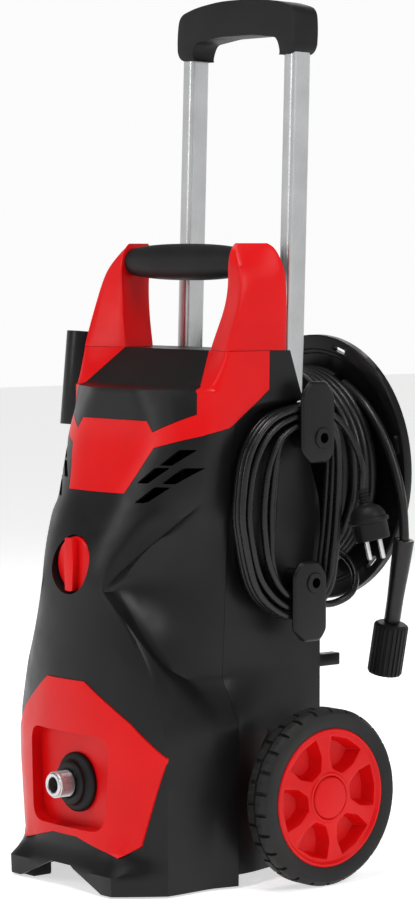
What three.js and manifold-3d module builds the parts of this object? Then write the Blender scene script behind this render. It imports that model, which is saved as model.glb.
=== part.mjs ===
// Pressure washer on two wheels: a tall two-part housing around a vertical motor and pump,
// a fixed carry handle, a telescopic handle, a hose reel on the back and cord hooks on the side.
// Millimetres, +Z up, the front faces -Y and the machine's right side faces +X.
import * as THREE from "three";
import { mergeVertices } from "three/addons/utils/BufferGeometryUtils.js";
import Module from "manifold-3d";

const wasm = await Module();
wasm.setup();

// ---------- driving dimensions ----------
const GAP = 0.3;                 // clearance between pieces that fit together
const WALL = 3;                  // housing wall
const SEAM_Y = -2;               // plane where the front and rear shells meet
const DECK_Z = 507.5;            // top of the housing
const BACK_Y = 118;              // flat back of the housing

const WHEEL_RADIUS = 84.5;
const WHEEL_Y = 71;
const WHEEL_INNER_X = 135;
const WHEEL_OUTER_X = 165;
const RIM_RADIUS = 66;
const AXLE_RADIUS = 6;

const OUTLET_Z = 98;             // height of the high-pressure outlet
const NIPPLE_TIP_Y = -135.5;
const KNOB_Z = 306;
const KNOB_RADIUS = 26;
const CUP_FLOOR_Y = -101;        // floor of the recess round the knob

const GRIP_Y = 29.5;             // axis of the carry grip
const GRIP_Z = 591;
const GRIP_HALF = 80.5;

const POST_X = 76;               // telescopic posts
const POST_WIDTH = 16;
const POST_DEPTH = 23.5;
const POST_TOP_Z = 806;
const POST_BOTTOM_Z = 395;
const POST_LEAN = Math.atan2(5.1, 177);
const POST_FOOT_Y = 93.6;        // post axis at POST_BOTTOM_Z
const HANDLE_TOP_Z = 846;
const GUIDE_TOP = 58;            // end of the posts' guides above the posts' lower ends

const REEL_Z = 385;
const REEL_FRONT_Y = 138;
const REEL_REAR_Y = 199;
const REEL_REAR_RADIUS = 133;
const REEL_FRONT_RADIUS = 106;
const DRUM_RADIUS = 77;
const HOSE_DIAMETER = 9.5;
const HOSE_PACK_RADIUS = 103;
const CRANK_RADIUS = 92;         // crank knob's distance from the reel axis
const CRANK_ANGLE = THREE.MathUtils.degToRad(215);
const CRANK_TIP_Y = 235;

const BAY_X = 98;                // side wall behind the wound mains cord
const HOOK_PLATE_X = 126;
const HOOK_PLATE = 6;
const UPPER_HOOK = [89, 424];    // y, z of each hook's arm
const LOWER_HOOK = [79, 286];
const HOOK_ARM_RADIUS = 12;
const CORD_DIAMETER = 7;

const MOTOR_Y = 12;
const MOTOR_RADIUS = 50;

// The frame's origin is under the middle of the box around everything but the cords.
const CENTRE_Y = (NIPPLE_TIP_Y + CRANK_TIP_Y) / 2;

// ---------- materials ----------
const material = (color, roughness, metalness = 0) =>
  new THREE.MeshStandardMaterial({ color, roughness, metalness, flatShading: true });
const BLACK = material(0x1b1b1c, 0.6);
const SOFT_BLACK = material(0x161616, 0.85);
const RED = material(0xd8141c, 0.45);
const RUBBER = material(0x131313, 0.9);
const ALUMINIUM = material(0xb9bbbd, 0.35, 1);
const STEEL = material(0x9c9ea0, 0.35, 1);
const CAST = material(0x8d8f92, 0.6, 1);
const BRASS = material(0xb08d4a, 0.4, 1);
const GREY = material(0x6c6e70, 0.6);

// ---------- solids ----------
const washer = new THREE.Group();

function add(name, geometry, look, group = washer) {
  const mesh = new THREE.Mesh(geometry, look);
  mesh.name = name;
  group.add(mesh);
  return mesh;
}

function toSolid(geometry) {
  const bare = geometry.clone();
  for (const name of Object.keys(bare.attributes)) {
    if (name !== "position") bare.deleteAttribute(name);
  }
  const merged = mergeVertices(bare, 1e-4);
  const vertProperties = new Float32Array(merged.attributes.position.array);
  const triVerts = new Uint32Array(merged.index.array);
  return new wasm.Manifold(new wasm.Mesh({ numProp: 3, vertProperties, triVerts }));
}

function toGeometry(solid) {
  const mesh = solid.getMesh();
  const geometry = new THREE.BufferGeometry();
  geometry.setAttribute("position", new THREE.BufferAttribute(mesh.vertProperties, 3));
  geometry.setIndex(new THREE.BufferAttribute(mesh.triVerts, 1));
  return geometry;
}

function join(first, ...others) {
  return toGeometry(others.reduce((sum, other) => sum.add(toSolid(other)), toSolid(first)));
}

function cut(first, ...tools) {
  return toGeometry(tools.reduce((rest, tool) => rest.subtract(toSolid(tool)), toSolid(first)));
}

function common(first, ...others) {
  return toGeometry(others.reduce((rest, other) => rest.intersect(toSolid(other)), toSolid(first)));
}

// The same geometry on the other side of the middle plane.
function mirrored(geometry) {
  const copy = mergeVertices(toGeometry(toSolid(geometry)));
  copy.scale(-1, 1, 1);
  const index = copy.index.array;
  for (let i = 0; i < index.length; i += 3) {
    [index[i], index[i + 1]] = [index[i + 1], index[i]];
  }
  return copy;
}

const bothSides = (geometry) => join(geometry, mirrored(geometry));

function box(x0, x1, y0, y1, z0, z1) {
  const geometry = new THREE.BoxGeometry(x1 - x0, y1 - y0, z1 - z0);
  return geometry.translate((x0 + x1) / 2, (y0 + y1) / 2, (z0 + z1) / 2);
}

// Turns a shape's plane (u, v) and depth w so that the depth runs along an axis.
const TO_AXIS = {
  x: new THREE.Matrix4().set(0, 0, 1, 0, 1, 0, 0, 0, 0, 1, 0, 0, 0, 0, 0, 1),
  y: new THREE.Matrix4().set(1, 0, 0, 0, 0, 0, -1, 0, 0, 1, 0, 0, 0, 0, 0, 1),
  z: new THREE.Matrix4(),
};

function shapeOf(points) {
  return new THREE.Shape(points.map(([u, v]) => new THREE.Vector2(u, v)));
}

// Extrudes an outline along an axis: (y, z) points along x, (x, z) along y, (x, y) along z.
function prism(axis, outline, from, to, curveSegments = 12) {
  const shape = outline instanceof THREE.Shape ? outline : shapeOf(outline);
  const depth = to - from;
  const geometry = new THREE.ExtrudeGeometry(shape, { depth, bevelEnabled: false, curveSegments });
  const start = axis === "y" ? -to : from;
  return geometry.translate(0, 0, start).applyMatrix4(TO_AXIS[axis]);
}

// A round bar along an axis through the point (a, b) of the other two coordinates.
function rod(axis, radius, from, to, a = 0, b = 0, segments = 16) {
  const geometry = new THREE.CylinderGeometry(radius, radius, to - from, segments);
  const middle = (from + to) / 2;
  if (axis === "x") return geometry.rotateZ(Math.PI / 2).translate(middle, a, b);
  if (axis === "y") return geometry.translate(a, middle, b);
  return geometry.rotateX(Math.PI / 2).translate(a, b, middle);
}

// A turned piece from a profile of [radius, distance along the axis] points, which either closes
// on itself or starts and ends on the axis.
function turned(axis, profile, a = 0, b = 0, segments = 20) {
  const onAxis = profile[0][0] === 0;
  const points = (onAxis ? profile : [...profile, profile[0]]).map((p) => new THREE.Vector2(...p));
  if (THREE.ShapeUtils.area(points) < 0) points.reverse();
  const geometry = new THREE.LatheGeometry(points, segments);
  if (axis === "x") return geometry.rotateZ(-Math.PI / 2).translate(0, a, b);
  if (axis === "y") return geometry.translate(a, 0, b);
  return geometry.rotateX(Math.PI / 2).translate(a, b, 0);
}

// Skins a stack of rings, each a list of [x, y, z] points running anticlockwise seen from above.
function skin(rings) {
  const count = rings[0].length;
  const positions = rings.flat(2);
  const index = [];
  for (let level = 0; level < rings.length - 1; level += 1) {
    for (let i = 0; i < count; i += 1) {
      const a = level * count + i;
      const b = level * count + (i + 1) % count;
      index.push(a, b, b + count, a, b + count, a + count);
    }
  }
  const capOf = (ring) =>
    THREE.ShapeUtils.triangulateShape(ring.map(([x, y]) => new THREE.Vector2(x, y)), []);
  const top = (rings.length - 1) * count;
  for (const [a, b, c] of capOf(rings[0])) index.push(a, c, b);
  for (const [a, b, c] of capOf(rings.at(-1))) index.push(top + a, top + b, top + c);
  const geometry = new THREE.BufferGeometry();
  geometry.setAttribute("position", new THREE.Float32BufferAttribute(positions, 3));
  geometry.setIndex(index);
  return geometry;
}

// Moves every side of a closed anticlockwise outline inwards by a distance.
function inset(outline, distance) {
  const count = outline.length;
  const normal = (i) => {
    const [ax, ay] = outline[i % count];
    const [bx, by] = outline[(i + 1) % count];
    const length = Math.hypot(bx - ax, by - ay);
    return [-(by - ay) / length, (bx - ax) / length];
  };
  return outline.map(([x, y], i) => {
    const [px, py] = normal((i + count - 1) % count);
    const [qx, qy] = normal(i);
    const scale = distance / Math.max(0.5, 1 + px * qx + py * qy);
    return [x + (px + qx) * scale, y + (py + qy) * scale];
  });
}

// ---------- housing ----------
// Outline of the housing's right half at a height, from the middle of the front to the middle of
// the back. The fourth point is the crest of the front, the fifth the edge of the flare and above
// it of the shoulder, the sixth the edge of the scoop below the shoulder, and the eighth the seam.
const BACK = [[98, 60], [98, BACK_Y], [50, BACK_Y], [0, BACK_Y]];
const LOW_BACK = [[100, 60], [98, 112], [50, 112], [0, 112]];
const ARCH_BACK = [[100, 60], ...BACK.slice(1)];
// From here up the back slopes forwards, and only its middle stays upright behind the reel.
const bayBack = (sideY, middleY) => [[98, 40], [98, sideY], [50, middleY], [0, middleY]];
const topBack = (sideY) => [[112, sideY - 2], [100, sideY + 1], [50, sideY + 2], [0, sideY + 2]];
const HOUSING = [
  [0, [0, -126], [45, -126], [78, -127], [110, -84],
    [108, -30], [110, -22], [112.5, -12], [115, SEAM_Y], [114, 20], ...LOW_BACK],
  [20, [0, -127], [45, -127.5], [78, -128], [110.5, -84.5],
    [109, -31], [111, -22], [113, -12], [115, SEAM_Y], [114, 20], ...LOW_BACK],
  [38, [0, -121], [45, -118], [72, -110], [111.5, -85.5],
    [110, -33], [112, -23], [114, -12], [115, SEAM_Y], [114, 20], ...ARCH_BACK],
  [131, [0, -122], [45, -118], [85, -106], [113.5, -88],
    [115.5, -35], [115.3, -24], [115, -12], [115, SEAM_Y], [114, 20], ...ARCH_BACK],
  [156, [0, -122], [38, -119], [80, -107], [110.5, -90],
    [115, -35], [115, -22], [115, -11], [115, SEAM_Y], [112, 20], ...ARCH_BACK],
  [198, [0, -121], [32, -120], [70, -107], [98.5, -92],
    [98, -66], [86, -38], [88, -20], [90, SEAM_Y], [94, 20], ...BACK],
  [210, [0, -120.5], [34, -118], [69, -107], [94, -92.5],
    [94, -75], [86, -66], [84, -32], [91, SEAM_Y], [94, 20], ...BACK],
  [236, [0, -119], [40, -115], [65, -106], [81, -94.5],
    [82, -93], [78, -84], [80, -40], [93, SEAM_Y], [96, 20], ...BACK],
  [284, [0, -117], [20, -116.5], [35, -115], [46, -112.5],
    [47, -112], [47, -92], [70, -42], [95, SEAM_Y], [97, 20], ...BACK],
  [300, [0, -117.5], [20, -117], [38, -114], [48, -109.5],
    [56, -102], [50, -86], [72, -40], [96, SEAM_Y], [97, 20], ...BACK],
  [320, [0, -112], [20, -111], [40, -108.5], [57, -100],
    [70, -84.5], [61, -74], [78, -36], [97, SEAM_Y], [97, 20], ...BACK],
  [340, [0, -103], [22, -102.5], [43, -100], [65, -89],
    [83, -63], [76, -55], [87, -28], [99, SEAM_Y], [98.5, 20], ...BACK],
  [362, [0, -92], [22, -91.5], [43, -90], [80, -72],
    [97, -38], [98, -34], [101, -18], [103, SEAM_Y], [101, 12], ...bayBack(BACK_Y - 1, BACK_Y)],
  [374, [0, -86], [22, -85], [42, -83], [84, -66],
    [102, -38], [103, -28], [103.5, -14], [103, SEAM_Y], [101, 14], ...bayBack(113, BACK_Y)],
  [417, [0, -67], [30, -66.5], [62, -65], [88, -50],
    [104, -35], [105, -24], [104.5, -12], [103, SEAM_Y], [101, 12], ...bayBack(98, BACK_Y)],
  [432, [0, -63], [30, -62.5], [57, -61.5], [86, -47],
    [104, -31], [107.5, -20], [108, -10], [108, SEAM_Y], [103, 16], ...bayBack(93, 117)],
  [449, [0, -61.5], [28, -61.3], [50, -61], [80, -46],
    [102, -28], [108, -17], [111, -8], [112, SEAM_Y], [110, 18], ...bayBack(87, 98)],
  [460, [0, -61], [25, -60.7], [42, -60.5], [75, -45],
    [104, -27], [109, -16], [111, -8], [112, SEAM_Y], [112, 38], ...topBack(84)],
  [471, [0, -60], [20, -60], [36, -60], [70, -43],
    [105.5, -26], [109.5, -16], [111.3, -8], [112, SEAM_Y], [112, 38], ...topBack(80)],
  [473, [0, -30], [20, -30], [36, -30], [87, -27],
    [106, -25], [109.5, -16], [111.3, -8], [112, SEAM_Y], [112, 38], ...topBack(79)],
  [DECK_Z, [0, 5], [20, 5], [40, 5], [66, 4],
    [108.5, -13.5], [110.8, -9], [111.7, -5.5], [112, SEAM_Y], [112, 38], ...topBack(67)],
];

function housing(depth) {
  const rings = HOUSING.map(([z, ...half]) => {
    const left = half.slice(1, -1).reverse().map(([x, y]) => [-x, y]);
    return inset([...half, ...left], depth).map(([x, y]) => [x, y, z]);
  });
  return skin(rings);
}

const outer = housing(0);
const inner = housing(WALL);
const raised = (geometry, dz) => geometry.clone().translate(0, 0, dz);
// The hollow keeps the wall's thickness below the deck too, and it is open at the bottom.
const cavity = join(
  common(inner, raised(inner, -WALL)),
  common(inner, box(-150, 150, -200, 200, -1, 30)),
);
const wall = cut(outer, cavity, box(-150, 150, -200, 200, -5, 2));

// A closed outline from its right half, listed from the bottom up.
const symmetric = (half) => [...half, ...half.map(([x, z]) => [-x, z]).reverse()];

// The red trim seen from the front and from the side, grown by a margin.
const trimRegion = (d) => common(
  prism("y", symmetric([[42 + d, 374 - d], [62 + d, 417 - d], [104, 430 - d], [140, 436 - d], [140, 530]]),
    -150, 60),
  prism("x", [[-140, 360], [-45, 360], [-33 + d, 430 - d], [-8, 436 - d], [38 + d, 471 - d],
    [39 + d, 530], [-140, 530]], -150, 150),
);

const LEG_INNER_X = 64;          // inner front corner of a carry handle leg at the deck
// The black front band and tray between the arms of the trim, grown by a margin.
const bandRegion = (d) => prism("y", symmetric([
  [49 - d, 442 - d], [57, 432 - 2.3 * d], [93 + d, 449 - d], [91 + d, 468], [LEG_INNER_X + d, DECK_Z],
  [LEG_INNER_X + d, 530],
]), -150, 39 + d);

// The red panel round the outlet, grown by a margin.
const panelRegion = (d) => prism("y", symmetric([
  [18, 50 - d], [72 + d, 36 - d], [90 + d, 48 - d], [113 + d, 131.5], [80 + d, 163 + d], [28 + d, 198 + d],
]), -150, -86 + d);

// The pocket in that panel, with rounded corners.
function pocket(margin, fromY, toY) {
  const [low, high, half, round] = [57 - margin, 148 + margin, 61 + margin, 16];
  const shape = new THREE.Shape();
  shape.moveTo(0, low);
  shape.lineTo(half - 6 - round, low);
  shape.quadraticCurveTo(half - 6, low, half - 5, low + round);
  shape.lineTo(half, high - round);
  shape.quadraticCurveTo(half, high, half - round, high);
  shape.lineTo(-half + round, high);
  shape.quadraticCurveTo(-half, high, -half, high - round);
  shape.lineTo(-half + 5, low + round);
  shape.quadraticCurveTo(-half + 6, low, -half + 6 + round, low);
  shape.closePath();
  return prism("y", shape, fromY, toY, 4);
}

// Four slanted slots in two staggered rows on each shoulder.
function ventSlots() {
  const corners = [[73, 402], [55, 385], [78, 385], [58, 367]];
  const slots = corners.map(([x, z]) =>
    prism("y", [[x - 2, z - 1], [x + 9, z - 1], [x + 26, z + 14], [x + 12.5, z + 14]], -100, -25));
  return slots.flatMap((slot) => [slot, mirrored(slot)]);
}

function frontShell() {
  const knobCup = common(rod("y", 31, -130, CUP_FLOOR_Y + WALL, 0, KNOB_Z), outer);
  const footArch = prism("y", [[-70, -1], [70, -1], [58, 4], [14, 23], [-14, 23], [-58, 4]], -150, -90);
  return cut(
    join(common(wall, box(-150, 150, -200, SEAM_Y, 0, 600)), knobCup),
    trimRegion(GAP), bandRegion(GAP), panelRegion(GAP), footArch,
    rod("y", 28, -140, CUP_FLOOR_Y, 0, KNOB_Z), rod("y", 5, -140, -90, 0, KNOB_Z, 12),
    ...ventSlots(),
  );
}

// The axle goes through both side walls, and the hooks' screws through the right one.
const HOOKS = [UPPER_HOOK, LOWER_HOOK];
const GLAND = [84, 310];         // x, z of the mains cord's strain relief in the back
const INLET = [-40, 45];         // x, z of the water inlet in the back

const tilted = (geometry, y, z) => geometry.rotateX(-POST_LEAN).translate(0, y, z);
const alongPosts = (geometry) => tilted(geometry, POST_FOOT_Y, POST_BOTTOM_Z);

function rearShell() {
  const arch = bothSides(rod("x", 86, 106, 130, 100, 80, 32));
  const postHole = alongPosts(box(POST_X - 11, POST_X + 11, -15, 15, -40, 130));
  return cut(
    common(wall, box(-150, 150, SEAM_Y + GAP, 200, 13, 600)),
    trimRegion(GAP), bandRegion(GAP), arch, bothSides(postHole),
    rod("x", AXLE_RADIUS + 0.4, -130, 130, WHEEL_Y, WHEEL_RADIUS),
    ...HOOKS.map(([y, z]) => rod("x", 2.8, 80, 120, y, z, 12)),
    rod("y", 7.3, 100, 130, ...GLAND, 16),
    rod("y", 12.3, 100, 130, ...INLET, 16),
    rod("y", 8.3, 100, 130, 0, REEL_Z),
  );
}

add("front_shell", frontShell(), BLACK);
add("rear_shell", rearShell(), BLACK);
add("top_cover", common(wall, bandRegion(0)), BLACK);
add("front_trim", cut(common(wall, trimRegion(0), box(-150, 150, -150, 60, 0, DECK_Z)), bandRegion(GAP)), RED);

function basePlate() {
  const plate = common(housing(WALL + 0.5), box(-90, 90, -100, 105, 14, 18));
  return cut(plate, rod("y", 14, 95, 110, ...INLET));
}

const FOOT_HEIGHT = 14 - GAP;
add("base_plate", basePlate(), BLACK);
for (const [name, x] of [["foot_right", 64], ["foot_left", -64]]) {
  add(name, box(x - 11, x + 11, -118, -96, 0, FOOT_HEIGHT), RUBBER);
}

// ---------- outlet and knob ----------
const OUTLET_FLOOR_Y = -104;     // front of the pocket's floor
function outletPanel() {
  const proud = housing(-1.5);
  const plate = common(cut(proud, inner), panelRegion(0));
  const tray = common(proud, pocket(3, -130, OUTLET_FLOOR_Y + 3));
  return cut(join(plate, tray), pocket(0, -150, OUTLET_FLOOR_Y), rod("y", 15.3, -120, -90, 0, OUTLET_Z));
}

const onOutlet = (profile) => turned("y", profile, 0, OUTLET_Z);
add("outlet_panel", outletPanel(), RED);
add("outlet_collar", onOutlet([
  [9.3, -84], [15, -84], [15, -104.3], [28.5, -104.3], [28.5, -108], [25, -111.5], [20, -112.5],
  [20, -117], [9.3, -117],
]), SOFT_BLACK);
add("outlet_nipple", onOutlet([
  [6, -84], [9, -84], [9, -117.5], [12.5, -117.5], [12.5, -134.5], [11.5, NIPPLE_TIP_Y], [6, NIPPLE_TIP_Y],
]), STEEL);

function knob() {
  return join(
    rod("y", KNOB_RADIUS, -109, CUP_FLOOR_Y - 0.5, 0, KNOB_Z, 28),
    common(box(-7, 7, -116, -108, KNOB_Z - 30, KNOB_Z + 30), rod("y", KNOB_RADIUS, -116, -108, 0, KNOB_Z, 28)),
    rod("y", 4.5, -103, -90, 0, KNOB_Z, 12),
  );
}

add("switch_knob", knob(), RED);
add("rotary_switch", cut(
  box(-16, 16, CUP_FLOOR_Y + WALL + 0.4, -74, KNOB_Z - 16, KNOB_Z + 16),
  rod("y", 4.9, -110, -89, 0, KNOB_Z, 12),
), GREY);

// ---------- carry handle ----------
// Rings of one leg, [z, front inner, front outer, back outer, back inner].
const LEG = [
  [DECK_Z + GAP, [64, 5], [110, -13], [112, 62], [64, 40]],
  [550, [77.5, 12], [111.5, 3], [112, 62], [77.5, 46]],
  [572, [80.5, 13], [108, 9], [112, 61], [80.5, 48]],
  [585, [80.5, 12], [101, 11], [110.5, 60], [80.5, 50]],
  [598, [80.5, 14], [90, 16], [105, 58], [80.5, 51]],
  [606, [80.5, 18], [84, 22], [100, 55], [80.5, 50]],
  [609, [80.5, 22], [82.5, 25], [95, 51], [80.5, 47]],
];

const leg = skin(LEG.map(([z, ...ring]) => ring.map(([x, y]) => [x, y, z])));
add("carry_handle", join(leg, mirrored(leg), rod("x", 10, -85, 85, GRIP_Y, GRIP_Z)), RED);
add("carry_grip", turned("x", [
  [10.3, -GRIP_HALF + GAP], [13.8, -GRIP_HALF + GAP], [16, -70], [17.7, -45], [17.7, 45], [16, 70],
  [13.8, GRIP_HALF - GAP], [10.3, GRIP_HALF - GAP],
], GRIP_Y, GRIP_Z), SOFT_BLACK);

// ---------- telescopic handle ----------
// Rectangle with cut corners about a post's axis.
function postOutline(x, halfX, halfY, corner) {
  return [
    [x - halfX + corner, -halfY], [x + halfX - corner, -halfY], [x + halfX, -halfY + corner],
    [x + halfX, halfY - corner], [x + halfX - corner, halfY], [x - halfX + corner, halfY],
    [x - halfX, halfY - corner], [x - halfX, -halfY + corner],
  ];
}

const postTube = (x, halfX, halfY, thickness, from, to) => cut(
  prism("z", postOutline(x, halfX, halfY, 3), from, to),
  prism("z", postOutline(x, halfX - thickness, halfY - thickness, 2), from - 1, to + 1),
);

const telescopic = new THREE.Group();
telescopic.position.set(0, POST_FOOT_Y, POST_BOTTOM_Z);
telescopic.rotation.x = -POST_LEAN;
washer.add(telescopic);
const postLength = POST_TOP_Z - POST_BOTTOM_Z;
const gripBase = postLength - 16;

function telescopicGrip() {
  const top = HANDLE_TOP_Z - POST_BOTTOM_Z;
  const arch = symmetric([
    [65, gripBase], [87, gripBase], [88.5, gripBase + 22], [82, top - 14], [60, top - 5], [30, top],
  ]);
  const space = symmetric([[65, gripBase - 1], [65, gripBase + 10], [57, gripBase + 18], [25, gripBase + 21]]);
  return cut(
    common(prism("y", arch, -15, 15), prism("x", [
      [-13, gripBase - 1], [13, gripBase - 1], [15, gripBase + 10], [14, top - 10], [8, top + 1],
      [-8, top + 1], [-14, top - 10], [-15, gripBase + 10],
    ], -100, 100)),
    prism("y", space, -20, 20),
    ...[POST_X, -POST_X].map((x) =>
      prism("z", postOutline(x, POST_WIDTH / 2 + GAP, POST_DEPTH / 2 + GAP, 3), gripBase - 1, postLength + GAP)),
  );
}

for (const [side, x] of [["right", POST_X], ["left", -POST_X]]) {
  const post = postTube(x, POST_WIDTH / 2, POST_DEPTH / 2, 1.8, 0, postLength);
  add(`handle_post_${side}`, post, ALUMINIUM, telescopic);
  const guide = alongPosts(postTube(x, POST_WIDTH / 2 + 2.5, POST_DEPTH / 2 + 2.5, 2, -262, GUIDE_TOP));
  add(`handle_guide_${side}`, guide, BLACK);
}
add("telescopic_grip", telescopicGrip(), SOFT_BLACK, telescopic);

// ---------- wheels and axle ----------
// Tapered pockets round the rim, between a round hub and the rim's edge.
function rimPocket(index) {
  const outline = [[25, -9.5], [56, -19], [58, 0], [56, 19], [25, 9.5]];
  const piece = prism("x", outline, WHEEL_OUTER_X - 17, WHEEL_OUTER_X + 5);
  return piece.rotateX(THREE.MathUtils.degToRad(8 + 60 * index)).translate(0, WHEEL_Y, WHEEL_RADIUS);
}

function rim() {
  const disc = turned("x", [
    [AXLE_RADIUS + 0.3, 119], [18, 119], [18, 143], [62, 143], [62, 137], [RIM_RADIUS, 137],
    [RIM_RADIUS, 163], [60, 163], [60, 161], [21, 161], [21, 157], [AXLE_RADIUS + 0.3, 157],
  ], WHEEL_Y, WHEEL_RADIUS, 32);
  return cut(disc, ...[0, 1, 2, 3, 4, 5].map(rimPocket));
}

const wheelPieces = [
  ["tyre", turned("x", [
    [RIM_RADIUS + GAP, WHEEL_INNER_X + 2], [76, WHEEL_INNER_X], [82, WHEEL_INNER_X + 2],
    [WHEEL_RADIUS, WHEEL_INNER_X + 6], [WHEEL_RADIUS, WHEEL_OUTER_X - 6], [82, WHEEL_OUTER_X - 2],
    [76, WHEEL_OUTER_X], [RIM_RADIUS + GAP, WHEEL_OUTER_X - 2],
  ], WHEEL_Y, WHEEL_RADIUS, 32), RUBBER],
  ["rim", rim(), RED],
  ["cap", turned("x", [
    [0, 157 + GAP], [20, 157 + GAP], [20, 162], [17, 163.5], [0, 163.5],
  ], WHEEL_Y, WHEEL_RADIUS, 16), RED],
];
for (const [piece, geometry, look] of wheelPieces) {
  add(`wheel_${piece}_right`, geometry, look);
  add(`wheel_${piece}_left`, mirrored(geometry), look);
}
add("axle", rod("x", AXLE_RADIUS, -156.5, 156.5, WHEEL_Y, WHEEL_RADIUS), STEEL);

// ---------- hose reel ----------
const onReel = (profile, segments = 32) => turned("y", profile, 0, REEL_Z, segments);
const crankX = CRANK_RADIUS * Math.cos(CRANK_ANGLE);
const crankZ = REEL_Z + CRANK_RADIUS * Math.sin(CRANK_ANGLE);

function rearFlange() {
  const disc = onReel([
    [9, REEL_REAR_Y], [118, REEL_REAR_Y], [120, 196], [REEL_REAR_RADIUS, 196],
    [REEL_REAR_RADIUS, 206], [129, 206], [127, 202.5], [9, 202.5],
  ]);
  const slots = [0, 1, 2, 3, 4, 5].map((i) =>
    box(-9, 9, 190, 210, 121.5, 126).rotateY(THREE.MathUtils.degToRad(17 + 60 * i)).translate(0, 0, REEL_Z));
  return cut(join(disc, rod("y", 5, 201, 232, crankX, crankZ, 20)), ...slots);
}

add("reel_bracket", onReel([
  [8.3, BACK_Y + GAP], [36, BACK_Y + GAP], [36, 124], [20, 126], [20, REEL_FRONT_Y - GAP],
  [8.3, REEL_FRONT_Y - GAP],
], 32), BLACK);
add("reel_axle", turned("y", [
  [0, 112], [8, 112], [8, 203], [14, 203], [14, 208], [0, 208],
], 0, REEL_Z, 20), STEEL);
add("reel_front_flange", onReel([
  [9, REEL_FRONT_Y], [REEL_FRONT_RADIUS, REEL_FRONT_Y], [REEL_FRONT_RADIUS, 145], [103.5, 145],
  [103.5, 142], [9, 142],
]), BLACK);
add("reel_drum", onReel([
  [DRUM_RADIUS - 3, 142.3], [DRUM_RADIUS, 142.3], [DRUM_RADIUS, REEL_REAR_Y - GAP],
  [DRUM_RADIUS - 3, REEL_REAR_Y - GAP],
]), BLACK);
add("reel_rear_flange", rearFlange(), BLACK);
add("crank_knob", turned("y", [
  [0, 232.4], [5.3, 232.4], [5.3, 206.5], [13, 206.5], [15, 212], [12.5, 221], [14.5, 230],
  [12, CRANK_TIP_Y], [0, CRANK_TIP_Y],
], crankX, crankZ, 16), SOFT_BLACK);
add("hose_wound", onReel([
  [DRUM_RADIUS + GAP, 146], [HOSE_PACK_RADIUS, 146], [HOSE_PACK_RADIUS, 195.6], [DRUM_RADIUS + GAP, 195.6],
]), SOFT_BLACK);

// ---------- hose end ----------
const smooth = (points) =>
  new THREE.CatmullRomCurve3(points.map((p) => new THREE.Vector3(...p)), false, "centripetal");

function cable(points, diameter, steps, sides = 4) {
  const section = new THREE.Shape();
  section.absarc(0, 0, diameter / 2, 0, 2 * Math.PI, false);
  const options = { steps, extrudePath: smooth(points), curveSegments: sides, bevelEnabled: false };
  return new THREE.ExtrudeGeometry(section, options);
}

// Turned along -Z from the origin, then laid from one point towards another.
function laid(geometry, from, to) {
  const start = new THREE.Vector3(...from);
  const direction = new THREE.Vector3(...to).sub(start).normalize();
  const turn = new THREE.Quaternion().setFromUnitVectors(new THREE.Vector3(0, 0, -1), direction);
  return geometry.applyQuaternion(turn).translate(...from);
}

const HOSE_ROUTE = [
  [60, 184, 478], [92, 184, 453], [114, 185, 422], [130, 185, 390], [141, 185, 360], [143.5, 185, 326],
];
const SLEEVE_TOP = [143, 185, 322];
const NUT_TOP = [125.5, 185, 237];
const NUT_LENGTH = 49;
const sleeveLength = Math.hypot(143 - 125.5, 322 - 237);
add("hose_tail", cable(HOSE_ROUTE, HOSE_DIAMETER, 20), SOFT_BLACK);
add("hose_sleeve", laid(turned("z", [
  [0, 0], [10, 0], [9.4, -30], [8, -60], [8, 3 - sleeveLength], [0, 3 - sleeveLength],
], 0, 0, 20), SLEEVE_TOP, NUT_TOP), SOFT_BLACK);
add("hose_nut", laid(turned("z", [
  [0, 2 - sleeveLength], [14, 2 - sleeveLength], [17, -1 - sleeveLength], [17, 3 - sleeveLength - NUT_LENGTH],
  [15.6, -sleeveLength - NUT_LENGTH], [0, -sleeveLength - NUT_LENGTH],
], 0, 0, 24), SLEEVE_TOP, NUT_TOP), SOFT_BLACK);

// ---------- mains cord ----------
// The wound cord as a flat loop round both hooks, in a plane of constant x.
const COIL_ROUTE = [
  [90, 447], [111, 433], [118, 402], [118, 353], [114, 308], [104, 275], [79, 261], [45, 265],
  [14, 290], [-1, 330], [-4, 365], [6, 405], [36, 437],
];
const COIL_TIGHT = [
  [89, 436.6], [110, 428], [113, 400], [109, 353], [103, 311], [98, 284], [79, 273.4], [60, 284],
  [55, 311], [58, 353], [62, 400], [67, 427],
];

// The loosest turn's outer edge and the tightest turn's inner edge.
function coil() {
  const edge = (loop, offset) => {
    const route = new THREE.CatmullRomCurve3(loop.map(([y, z]) => new THREE.Vector3(y, z, 0)), true);
    return Array.from({ length: 36 }, (_, i) => {
      const point = route.getPointAt(i / 36);
      const along = route.getTangentAt(i / 36);
      return [point.x - along.y * offset, point.y + along.x * offset];
    });
  };
  return cut(prism("x", edge(COIL_ROUTE, 9), 105.8, 125.7), prism("x", edge(COIL_TIGHT, 0), 100, 130));
}

const PLUG_TOP = [134.5, 137, 373];
const PLUG_END = [146, 146, 306];
function plug() {
  const body = turned("z", [
    [0, 0], [4.5, 0], [6, -14], [14, -18], [18, -26], [19.5, -30], [19.5, -33], [18, -34], [17, -50], [0, -50],
  ], 0, 0, 18);
  const pins = [9.5, -9.5].map((x) => rod("z", 2.4, -69, -49, x, 0, 10));
  return laid(join(body, ...pins), PLUG_TOP, PLUG_END);
}

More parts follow.
